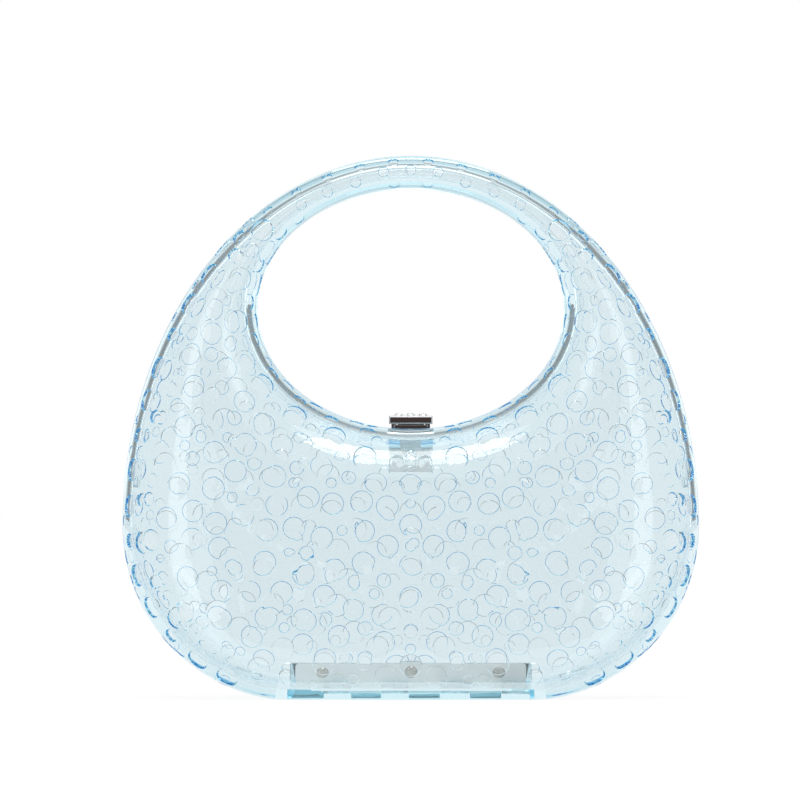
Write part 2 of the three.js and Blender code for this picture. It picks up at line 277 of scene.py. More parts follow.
def rod_piece(name: str, places: Iterable[Ends], radius: float, segments: int = 32) -> Object:
    """Makes an object of equal rods.

    Args:
        name: its name.
        places: the two ends of each rod.
        radius: the rods' radius.
        segments: how many sides they have.

    Returns:
        The object.
    """
    bm = bmesh.new()
    for ends in places:
        rod(bm, ends, radius, segments=segments)
    return to_object(bm, name)


def pin_piece(
    name: str, ends: Ends, radius: float, ease: float, facets: int = 24, ease_facets: int = 3
) -> Object:
    """Makes a pin along X with rounded ends.

    Args:
        name: its name.
        ends: the middles of its ends.
        radius: its radius.
        ease: how far the rounding reaches.
        facets: how many sides it has.
        ease_facets: how many facets the rounding has.

    Returns:
        The pin.
    """
    bm = bmesh.new()
    rod(bm, ends, radius, segments=facets)
    rims = [edge for edge in bm.edges if abs(edge.verts[0].co.x - edge.verts[1].co.x) < ease]
    ease_edges(bm, rims, ease, ease_facets)
    return to_object(bm, name)


def crosswise(half: float, y: float, z: float) -> Ends:
    """The ends of a rod along X that is centred on the bag's middle."""
    return (-half, y, z), (half, y, z)


def both(half: float) -> Pair:
    """The same distance to each side."""
    return -half, half


def settle(piece: Object) -> None:
    """Makes what a piece's modifiers show its own mesh.

    Args:
        piece: the piece, whose modifiers are removed.
    """
    depsgraph = bpy.context.evaluated_depsgraph_get()
    shown = bpy.data.meshes.new_from_object(piece.evaluated_get(depsgraph))
    piece.modifiers.clear()
    spent = piece.data
    piece.data = shown
    bpy.data.meshes.remove(spent)
    shown.name = piece.name


def carve(piece: Object, tools: Iterable[Tool]) -> None:
    """Cuts and joins a piece with tool objects, which are removed.

    Args:
        piece: the piece whose mesh is replaced.
        tools: each tool with what it does, in order.
    """
    used = list(tools)
    for tool, carving in used:
        step = piece.modifiers.new(tool.name, "BOOLEAN")
        step.operation = carving.value
        step.object = tool
        step.solver = "MANIFOLD"
    settle(piece)
    for tool, _ in used:
        bpy.data.meshes.remove(tool.data)


def soften(piece: Object, width: float, crease_deg: float = 40.0) -> None:
    """Takes the sharpness off a piece's edges.

    Args:
        piece: the piece whose mesh is replaced.
        width: how far the rounding reaches.
        crease_deg: edges sharper than this are rounded.
    """
    step = piece.modifiers.new("soft_edges", "BEVEL")
    step.width = width * MM
    step.segments = 2
    step.limit_method = "ANGLE"
    step.angle_limit = math.radians(crease_deg)
    settle(piece)
    shade(piece.data, crease_deg)
    level_normals(piece)


def level_normals(piece: Object) -> None:
    """Lets a piece's large flat faces decide the normals, so that they reflect as flat ones do.

    Args:
        piece: the piece whose mesh is replaced.
    """
    step = piece.modifiers.new("level_normals", "WEIGHTED_NORMAL")
    step.keep_sharp = True
    settle(piece)


def turn_round(piece: Object, side: Side) -> None:
    """Turns a piece that was modelled as the front one half round, if it is the back one."""
    if side is Side.BACK:
        piece.data.transform(Matrix.Rotation(math.pi, 4, "Z"))


def dress(piece: Object, finish: Material, body: Body, node: str) -> None:
    """Gives a piece its finish, its body and the node that it stands for.

    Args:
        piece: the piece.
        finish: its material.
        body: the body that it rides on.
        node: the frame's node that it replaces.
    """
    piece.data.materials.clear()
    piece.data.materials.append(finish)
    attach(piece, body.value)
    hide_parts(node)
    LOG.info("%s: %d faces", piece.name, len(piece.data.polygons))


class NodeSketch:
    """A node tree that is filled in a few short calls."""

    def __init__(self, tree: NodeTree) -> None:
        """Keeps the tree."""
        self.tree = tree

    def add(self, kind: str, **settings: object) -> Node:
        """Adds a node.

        Args:
            kind: the node's type name, without the leading ShaderNode.
            settings: its properties.

        Returns:
            The node.
        """
        node = self.tree.nodes.new(f"ShaderNode{kind}")
        for name, value in settings.items():
            setattr(node, name, value)
        return node

    def set(self, node: Node, **values: object) -> None:
        """Sets a node's inputs by name, with underscores for spaces."""
        for name, value in values.items():
            node.inputs[name.replace("_", " ")].default_value = value

    def link(self, start: NodeSocket, end: NodeSocket) -> None:
        """Joins two sockets."""
        self.tree.links.new(start, end)

    def span(self, value: NodeSocket, source: Pair, target: Pair) -> NodeSocket:
        """Maps a value smoothly from one range to another.

        Args:
            value: the value to map.
            source: the range that it comes in.
            target: the range that it is mapped to.

        Returns:
            The mapped value.
        """
        node = self.add("MapRange", interpolation_type="SMOOTHSTEP")
        self.set(node, From_Min=source[0], From_Max=source[1], To_Min=target[0], To_Max=target[1])
        self.link(value, node.inputs["Value"])
        return node.outputs["Result"]

    def noise(self, place: NodeSocket, scale: float, detail: float) -> NodeSocket:
        """Draws noise.

        Args:
            place: where it is drawn.
            scale: how fine it is.
            detail: how many finer layers lie on it.

        Returns:
            Its value.
        """
        node = self.add("TexNoise")
        self.set(node, Scale=scale, Detail=detail)
        self.link(place, node.inputs["Vector"])
        return node.outputs["Fac"]


class SharedEffect:
    """A node group that several finishes share, with a place as its input."""

    name: str
    outlets: tuple[str, ...]

    def group(self) -> NodeTree:
        """Builds the group once and gives it back after that.

        Returns:
            The group.
        """
        made = bpy.data.node_groups.get(self.name)
        if made:
            return made
        tree = bpy.data.node_groups.new(self.name, "ShaderNodeTree")
        tree.interface.new_socket("Place", in_out="INPUT", socket_type="NodeSocketVector")
        for outlet in self.outlets:
            tree.interface.new_socket(outlet, in_out="OUTPUT", socket_type="NodeSocketFloat")
        place = tree.nodes.new("NodeGroupInput").outputs["Place"]
        leave = tree.nodes.new("NodeGroupOutput")
        sketch = NodeSketch(tree)
        for outlet, value in zip(self.outlets, self.values(sketch, place)):
            sketch.link(value, leave.inputs[outlet])
        return tree

    def values(self, sketch: NodeSketch, place: NodeSocket) -> list[NodeSocket]:
        """Fills the group, and gives back the values that leave it."""
        raise NotImplementedError


@dataclass(frozen=True)
class SurfaceWear(SharedEffect):
    """Hairline scratches, and the smudges of handling."""

    name: str = "surface_wear"
    outlets: tuple[str, ...] = ("Scratches", "Smudges")
    scratch_stretch: Triple = (60.0, 2600.0, 60.0)
    scratch_turn: Triple = (0.3, 0.5, 0.9)
    scratch_detail: float = 2.0
    scratch_range: Pair = (0.60, 0.72)
    smudge_scale: float = 38.0
    smudge_detail: float = 4.0
    smudge_range: Pair = (0.42, 0.70)

    def values(self, sketch: NodeSketch, place: NodeSocket) -> list[NodeSocket]:
        """Draws the scratches from stretched noise, and the smudges from plain noise.

        Args:
            sketch: the group's sketch.
            place: the place that comes into the group.

        Returns:
            The scratches and the smudges.
        """
        stretch = sketch.add("Mapping")
        sketch.set(stretch, Scale=self.scratch_stretch, Rotation=self.scratch_turn)
        sketch.link(place, stretch.inputs["Vector"])
        hair = sketch.noise(stretch.outputs["Vector"], 1.0, self.scratch_detail)
        blot = sketch.noise(place, self.smudge_scale, self.smudge_detail)
        return [sketch.span(hair, self.scratch_range, (0, 1)), sketch.span(blot, self.smudge_range, (0, 1))]


@dataclass(frozen=True)
class MouldRipple(SharedEffect):
    """The slow ripple that a polished mould or a pressed sheet leaves."""

    name: str = "mould_ripple"
    outlets: tuple[str, ...] = ("Height",)
    scale: float = 46.0
    detail: float = 1.0

    def values(self, sketch: NodeSketch, place: NodeSocket) -> list[NodeSocket]:
        """Draws the ripple from wide noise."""
        return [sketch.noise(place, self.scale, self.detail)]


def begin_material(name: str) -> tuple[Material, NodeSketch, Node]:
    """Starts a material.

    Args:
        name: its name.

    Returns:
        The material, its sketch and its Principled node.
    """
    material = bpy.data.materials.new(name)
    material.use_nodes = True
    return material, NodeSketch(material.node_tree), material.node_tree.nodes["Principled BSDF"]


class Finish:
    """What the finishes share: wear and ripple on the object's own coordinates."""

    def shared(self, sketch: NodeSketch, effect: SharedEffect) -> Node:
        """Adds a shared effect and gives it the object's coordinates.

        Args:
            sketch: the material's sketch.
            effect: the effect to add.

        Returns:
            The effect's node.
        """
        place = sketch.add("TexCoord")
        node = sketch.add("Group", node_tree=effect.group())
        sketch.link(place.outputs["Object"], node.inputs["Place"])
        return node

    def ripple(self, sketch: NodeSketch, shader: Node, strength: float, deep: float) -> None:
        """Bends the shader's normal by the shared ripple.

        Args:
            sketch: the material's sketch.
            shader: its Principled node.
            strength: the bump's strength.
            deep: the ripple's height in metres.
        """
        swell = self.shared(sketch, MouldRipple())
        bump = sketch.add("Bump")
        sketch.set(bump, Strength=strength, Distance=deep)
        sketch.link(swell.outputs["Height"], bump.inputs["Height"])
        sketch.link(bump.outputs["Normal"], shader.inputs["Normal"])


@dataclass(frozen=True)
class ClearPlastic(Finish):
    """A clear moulded plastic or glass, tinted through its thickness."""

    name: str
    tint: Triple
    density: float
    index: float = 1.49
    surface: Triple = (1.0, 1.0, 1.0)
    smudge_roughness: float = 0.02
    ripple_strength: float = 0.5
    ripple_deep: float = 0.00004

    def material(self) -> Material:
        """Builds the material.

        Returns:
            The material.
        """
        material, sketch, shader = begin_material(self.name)
        sketch.set(shader, Base_Color=(*self.surface, 1), IOR=self.index, Transmission_Weight=1.0)
        smudges = self.shared(sketch, SurfaceWear()).outputs["Smudges"]
        sketch.link(sketch.span(smudges, (0, 1), (0, self.smudge_roughness)), shader.inputs["Roughness"])
        self.ripple(sketch, shader, self.ripple_strength, self.ripple_deep)
        tint = sketch.add("VolumeAbsorption")
        sketch.set(tint, Color=(*self.tint, 1), Density=self.density)
        sketch.link(tint.outputs["Volume"], material.node_tree.nodes["Material Output"].inputs["Volume"])
        return material


@dataclass(frozen=True)
class BareMetal(Finish):
    """A plated or drawn metal: clean where it is polished, duller along scratches and under smudges."""

    name: str
    bright: Triple
    dull: Triple
    polish: float
    scratch_roughness: float
    smudge_roughness: float = 0.05
    ripple_strength: float = 0.4
    ripple_deep: float = 0.00001

    def material(self) -> Material:
        """Builds the material.

        Returns:
            The material.
        """
        material, sketch, shader = begin_material(self.name)
        sketch.set(shader, Metallic=1.0)
        wear = self.shared(sketch, SurfaceWear())
        color = sketch.add("Mix", data_type="RGBA")
        color.inputs["A"].default_value = (*self.bright, 1)
        color.inputs["B"].default_value = (*self.dull, 1)
        sketch.link(wear.outputs["Smudges"], color.inputs["Factor"])
        sketch.link(color.outputs["Result"], shader.inputs["Base Color"])
        total = sketch.add("Math", operation="ADD")
        worn = self.polish + self.scratch_roughness
        hairs = sketch.span(wear.outputs["Scratches"], (0, 1), (self.polish, worn))
        hazes = sketch.span(wear.outputs["Smudges"], (0, 1), (0, self.smudge_roughness))
        sketch.link(hairs, total.inputs[0])
        sketch.link(hazes, total.inputs[1])
        sketch.link(total.outputs["Value"], shader.inputs["Roughness"])
        self.ripple(sketch, shader, self.ripple_strength, self.ripple_deep)
        return material


@dataclass(frozen=True)
class SideForm:
    """How one side of a section squares off towards the base."""

    squareness: float
    power: float


@dataclass(frozen=True)
class Section:
    """One section of the bag on a ray from the middle of the hand hole."""

    inner: float
    outer: float
    half_depth: float
    hole_squareness: float
    base_squareness: float

    @property
    def half_length(self) -> float:
        """Half the section's length along its ray."""
        return (self.outer - self.inner) / 2

    def squareness(self, along: float) -> float:
        """The squareness on the outer side of the section's middle, or on the hole's side of it."""
        return self.base_squareness if along > 0 else self.hole_squareness


@dataclass(frozen=True)
class BagForm:
    """The bag's form: an outline with a hole, and rounded sections on rays from the hole's middle."""

    width: float = 220.0
    shoulder_z: float = 66.0
    arch_rise: float = 141.0
    base_trim: float = 0.8
    hole_z: float = 148.4
    hole_half_width: float = 58.4
    hole_half_height: float = 45.6
    handle_half_depth: float = 11.0
    belly_half_depth: float = 31.0
    depth_power: float = 1.5
    handle_squareness: float = 2.4
    hole_side: SideForm = SideForm(4.0, 4.0)
    base_side: SideForm = SideForm(12.0, 12.0)
    wall: float = 3.4
    floor_z: float = 3.2
    slope_step: float = 0.01

    @property
    def rim_z(self) -> float:
        """The height of the hole's lowest edge."""
        return self.hole_z - self.hole_half_height

    def hole_reach(self, angle: float) -> float:
        """Distance from the hole's middle to its edge along a ray."""
        return 1 / math.hypot(math.cos(angle) / self.hole_half_width, math.sin(angle) / self.hole_half_height)

    def outline_reach(self, angle: float) -> float:
        """Distance from the hole's middle to the outline along a ray.

        Args:
            angle: the ray's angle round the hole.

        Returns:
            The distance to the base, the arch or a lower corner, whichever the ray meets.
        """
        across, up = abs(math.cos(angle)), math.sin(angle)
        corner = self.shoulder_z + self.base_trim
        corner_x = self.width / 2 - corner
        rise = self.hole_z - self.shoulder_z
        if up < 0:
            to_base = -(self.hole_z + self.base_trim) / up
            if to_base * across <= corner_x:
                return to_base
        square = (across / (self.width / 2)) ** 2 + (up / self.arch_rise) ** 2
        slant = rise * up / self.arch_rise**2
        rest = (rise / self.arch_rise) ** 2 - 1
        to_arch = (-slant + math.sqrt(slant**2 - square * rest)) / square
        if self.hole_z + to_arch * up >= self.shoulder_z:
            return to_arch
        halfway = corner_x * across - rise * up
        return halfway + math.sqrt(halfway**2 - corner_x**2 - rise**2 + corner**2)

    def section(self, angle: float, inset: float) -> Section:
        """The section at a ray.

        Args:
            angle: the ray's angle round the hole.
            inset: how far below the surface the section lies.

        Returns:
            Its sizes.
        """
        lowness = (1 - math.sin(angle)) / 2
        swell = (self.belly_half_depth - self.handle_half_depth) * lowness**self.depth_power
        squares = [
            self.handle_squareness + (side.squareness - self.handle_squareness) * lowness**side.power
            for side in (self.hole_side, self.base_side)
        ]
        return Section(
            inner=self.hole_reach(angle) + inset,
            outer=self.outline_reach(angle) - inset,
            half_depth=self.handle_half_depth + swell - inset,
            hole_squareness=squares[0],
            base_squareness=squares[1],
        )

    def point(self, angle: float, turn: float, inset: float = 0.0) -> Vector:
        """A point of the front half's surface.

        Args:
            angle: the ray's angle round the hole.
            turn: how far round the section, from 0 at the outer edge to pi at the hole's edge.
            inset: how far below the outer surface.

        Returns:
            The point, kept above the base or the floor inside it.
        """
        section = self.section(angle, inset)
        along, across = math.cos(turn), math.sin(turn)
        square = section.squareness(along)
        share = (abs(along) ** square + abs(across) ** square) ** (-1 / square)
        distance = section.inner + section.half_length * (1 + share * along)
        height = self.hole_z + distance * math.sin(angle)
        lowest = min(inset, self.floor_z)
        return Vector((distance * math.cos(angle), -share * section.half_depth * across, max(lowest, height)))

    def fullness(self, place: Vector, inset: float = 0.0) -> float:
        """How far out a point lies in its section.

        Args:
            place: the point.
            inset: how far below the outer surface the section lies.

        Returns:
            Under 1 for a point inside the section, and over 1 for one outside it.
        """
        up = place.z - self.hole_z
        section = self.section(math.atan2(up, place.x), inset)
        along = (math.hypot(place.x, up) - section.inner) / section.half_length - 1
        square = section.squareness(along)
        return abs(along) ** square + abs(place.y / section.half_depth) ** square

    def normal(self, place: Vector, inset: float = 0.0) -> Vector:
        """The outward normal of the form, or of one sunk below it.

        Args:
            place: a point on that form, or near it.
            inset: how far below the outer surface it is sunk.

        Returns:
            The normal.
        """
        slopes = []
        for axis in range(3):
            step = Vector((0, 0, 0))
            step[axis] = self.slope_step
            slopes.append(self.fullness(place + step, inset) - self.fullness(place - step, inset))
        return Vector(slopes).normalized()


@dataclass(frozen=True)
class Seat:
    """A round stone seat: its place, its sizes, how the surface bends across it and how its floor leans."""

    place: Matrix
    radius: float
    deep: float
    bend: Triple
    lean: Vector

    @property
    def middle(self) -> Vector:
        """The seat's middle on the outer surface."""
        return self.place.translation

    def sag(self, across: float, along: float) -> float:
        """How far the surface lies off the tangent plane at a place in the seat."""
        square, twist, other = self.bend
        return square * across**2 + twist * across * along + other * along**2

    def mirrored(self) -> "Seat":
        """The same seat on the other side of the bag's middle.

        Returns:
            The mirrored seat.
        """
        flip = Matrix.Diagonal((-1, 1, 1, 1))
        square, twist, other = self.bend
        lean = Vector((-self.lean.x, self.lean.y))
        return Seat(flip @ self.place @ flip, self.radius, self.deep, (square, -twist, other), lean)


@dataclass(frozen=True)
class SeatRow:
    """A row of seats beside an edge of the bag, on one side of it, from one ray down to another."""

    edge: Edge
    offset: float
    first_deg: float
    last_deg: float
    pitch: float
    deep: float
    radii: tuple[float, ...]
    lead: float = 0.0


@dataclass
class StoneSeats:
    """The pattern of round seats on one half: rows along the edges, and a scattered field between."""

    form: BagForm
    seed: int
    tiny: float = 2.1
    middling: float = 2.8
    large: float = 4.35
    edge_deep: float = 1.05
    hole_deep: float = 0.55
    field_deep: float = 0.32
    lean_share: float = 0.85
    draft: float = 0.24
    draft_share: float = 0.45
    clasp_deep: float = 0.7
    mouth: float = 0.06
    proud: float = 1.0
    row_gap: float = 0.7
    field_gap: Pair = (0.5, 3.0)
    seam_clear: float = 1.2
    base_clear: float = 3.4
    landing_clear: float = 8.0
    landing_half_width: float = 8.6
    field_first_deg: float = -90.0
    field_span_deg: float = 120.0
    field_crowding: float = 1.5
    field_reach: float = 0.92
    tries: int = 3500
    row_step_deg: float = 0.25
    halvings: int = 30
    segments: int = 24
    floor_ring: float = 0.45
    seats: list[Seat] = field(default_factory=list)
    draw: random.Random = field(init=False)

    def __post_init__(self) -> None:
        """Starts the drawing of numbers, the same for every run."""
        self.draw = random.Random(self.seed)

    def rows(self) -> list[SeatRow]:
        """The rows along the handle, the outline, the hole's edge and the base.

        Returns:
            The rows, in the order in which they are laid.
        """
        tiny, middling, large = self.tiny, self.middling, self.large
        deep, less_deep, shallow = self.edge_deep, self.hole_deep, self.field_deep
        return [
            SeatRow(Edge.OUTLINE, 2.3, 90, 34, 13.0, less_deep, (tiny,), lead=6.5),
            SeatRow(Edge.OUTLINE, 5.7, 90, 76, 10.2, less_deep, (tiny,)),
            SeatRow(Edge.OUTLINE, 7.8, 66.5, 36, 11.2, less_deep, (tiny,)),
            SeatRow(Edge.HOLE, 1.7, 90, 36, 13.0, shallow, (tiny,), lead=6.0),
            SeatRow(Edge.OUTLINE, 3.4, 10, -80, 13.5, deep, (large, large, middling)),
            SeatRow(Edge.OUTLINE, 2.2, 34, 10, 14.0, deep, (middling,)),
            SeatRow(Edge.OUTLINE, 7.0, 34, 10, 14.0, deep, (large, middling), lead=7.0),
            SeatRow(Edge.OUTLINE, 10.0, -12, -72, 16.0, deep, (large, middling), lead=7.0),
            SeatRow(Edge.HOLE, 2.7, 30, -82, 14.5, less_deep, (middling,)),
            SeatRow(Edge.HOLE, 8.2, 24, -80, 17.0, less_deep, (large,), lead=8.0),
            SeatRow(Edge.OUTLINE, 5.7, -72, -90, 12.0, shallow, (tiny,), lead=3.0),
            SeatRow(Edge.OUTLINE, 15.0, -70, -90, 15.5, shallow, (middling, large)),
        ]

    def beside_clasp(self) -> list[Triple]:
        """Seats on each side of the clasp: the x, the z and the radius of the right-hand ones."""
        return [(17.4, 92.3, self.large), (5.4, 90.4, self.middling)]

    def lay_out(self) -> None:
        """Fills the list of seats."""
        for x, z, radius in self.beside_clasp():
            angle = math.atan2(z - self.form.hole_z, x)
            offset = math.hypot(x, z - self.form.hole_z) - self.form.hole_reach(angle)
            turn = self.edge_turn(angle, Edge.HOLE, offset)
            self.try_pair(angle, turn, radius, self.clasp_deep, self.row_gap)
        for row in self.rows():
            self.lay_row(row)
        for radius in (self.large, self.middling, self.tiny):
            for _ in range(self.tries):
                share = self.draw.random() ** self.field_crowding
                angle = math.radians(self.field_first_deg + self.field_span_deg * share)
                turn = math.acos(self.draw.uniform(-self.field_reach, self.field_reach))
                self.try_pair(angle, turn, radius, self.field_deep, self.draw.uniform(*self.field_gap))

    def edge_turn(self, angle: float, edge: Edge, offset: float) -> float:
        """The turn on a ray at a distance from one edge of the front view, found by halving.

        Args:
            angle: the ray's angle round the hole.
            edge: the edge to measure from.
            offset: the distance from that edge.

        Returns:
            The turn round the section.
        """
        section = self.form.section(angle, 0.0)
        wanted = section.outer - offset if edge is Edge.OUTLINE else section.inner + offset
        near, far = 0.0, math.pi
        for _ in range(self.halvings):
            middle = (near + far) / 2
            place = self.form.point(angle, middle)
            beyond = math.hypot(place.x, place.z - self.form.hole_z) > wanted
            near, far = (middle, far) if beyond else (near, middle)
        return near

    def lay_row(self, row: SeatRow) -> None:
        """Places one row of seats at its pitch, with its mirror image.

        Args:
            row: the row to lay.
        """
        angle = math.radians(row.first_deg)
        last = self.form.point(angle, self.edge_turn(angle, row.edge, row.offset))
        left = row.lead
        count = 0
        while angle > math.radians(row.last_deg):
            turn = self.edge_turn(angle, row.edge, row.offset)
            here = self.form.point(angle, turn)
            left -= (here - last).length
            last = here
            if left <= 0:
                self.try_pair(angle, turn, row.radii[count % len(row.radii)], row.deep, self.row_gap)
                left += row.pitch
                count += 1
            angle -= math.radians(self.row_step_deg)

    def try_pair(self, angle: float, turn: float, radius: float, deep: float, gap: float) -> None:
        """Adds a seat and its mirror image where both have room.

        Args:
            angle: the ray of the seat on the right-hand side.
            turn: its turn round the section.
            radius: its radius.
            deep: how far its floor lies below the surface.
            gap: the least distance to the next seat's edge.
        """
        middle = self.form.point(angle, turn)
        alone = abs(middle.x) < gap / 2
        if alone:
            middle.x = 0.0
        normal = self.form.normal(middle)
        if not self.has_room(middle, normal, radius, gap, alone):
            return
        seat = self.seat_at(middle, normal, radius, deep)
        self.seats.append(seat)
        if not alone:
            self.seats.append(seat.mirrored())

    def has_room(self, middle: Vector, normal: Vector, radius: float, gap: float, alone: bool) -> bool:
        """Whether a seat clears the seam, the base, the clasp, its own mirror image and the other seats.

        Args:
            middle: the seat's middle.
            normal: the surface's normal there.
            radius: the seat's radius.
            gap: the least distance to the next seat's edge.
            alone: whether the seat is on the bag's middle, with no mirror image.

        Returns:
            True if it has room.
        """
        if not alone and abs(middle.x) < radius + gap / 2:
            return False
        if -middle.y < self.seam_clear + radius * normal.xz.length:
            return False
        if middle.z < self.base_clear + radius * normal.xy.length:
            return False
        by_landing = abs(middle.x) < self.landing_half_width + radius + gap
        if by_landing and self.form.rim_z - self.landing_clear < middle.z + radius < self.form.hole_z:
            return False
        return all((seat.middle - middle).length >= seat.radius + radius + gap for seat in self.seats)

    def seat_at(self, middle: Vector, normal: Vector, radius: float, deep: float) -> Seat:
        """Works out a seat's axes and how the surface bends across it.

        Args:
            middle: the seat's middle on the surface.
            normal: the surface's normal there.
            radius: the seat's radius.
            deep: how far its floor lies below the surface.

        Returns:
            The seat.
        """
        across = normal.orthogonal().normalized()
        along = normal.cross(across)
        place = Matrix.Translation(middle) @ Matrix((across, along, normal)).transposed().to_4x4()
        tilts = []
        for axis in (across, along):
            ahead = self.form.normal(middle + axis * radius / 2)
            behind = self.form.normal(middle - axis * radius / 2)
            turned_by = (ahead - behind) / radius
            tilts.append((turned_by.dot(across), turned_by.dot(along)))
        (square, twist), (other_twist, other) = tilts
        bend = (-square / 2, -(twist + other_twist) / 2, -other / 2)
        steep = self.draw.uniform(0, self.lean_share) * self.field_deep / radius
        toward = self.draw.uniform(0, TAU)
        return Seat(place, radius, deep, bend, steep * Vector((math.cos(toward), math.sin(toward))))

    def cutter(self, name: str) -> Object:
        """The joined plugs that cut the seats out of a front half.

        Args:
            name: the tool's name.

        Returns:
            The tool.
        """
        joined = bmesh.new()
        spare = bpy.data.meshes.new("plug")
        for seat in self.seats:
            plug = self.plug(seat)
            plug.to_mesh(spare)
            plug.free()
            joined.from_mesh(spare)
        bpy.data.meshes.remove(spare)
        return to_object(joined, name)

    def plug(self, seat: Seat) -> BMesh:
        """One plug with a floor that runs level with the surface above it.

        Args:
            seat: the seat that the plug cuts.

        Returns:
            The plug's mesh.
        """
        bm = bmesh.new()
        narrow = seat.radius - max(self.draft, self.draft_share * seat.deep)
        rod(bm, ((0, 0, -seat.deep), (0, 0, self.mouth)), narrow, seat.radius, self.segments)
        lid = max(bm.faces, key=lambda face: face.calc_center_median().z)
        raised = bmesh.ops.extrude_discrete_faces(bm, faces=[lid])["faces"][0]
        bmesh.ops.translate(bm, verts=raised.verts, vec=(0, 0, self.proud))
        floor = min(bm.faces, key=lambda face: face.calc_center_median().z)
        bmesh.ops.inset_individual(bm, faces=[floor], thickness=seat.radius * self.floor_ring)
        bmesh.ops.poke(bm, faces=[floor])
        for vert in bm.verts:
            if vert.co.z < 0:
                vert.co.z += seat.lean.dot(vert.co.xy)
            vert.co.z += seat.sag(vert.co.x, vert.co.y)
        bmesh.ops.transform(bm, matrix=seat.place, verts=bm.verts)
        return bm


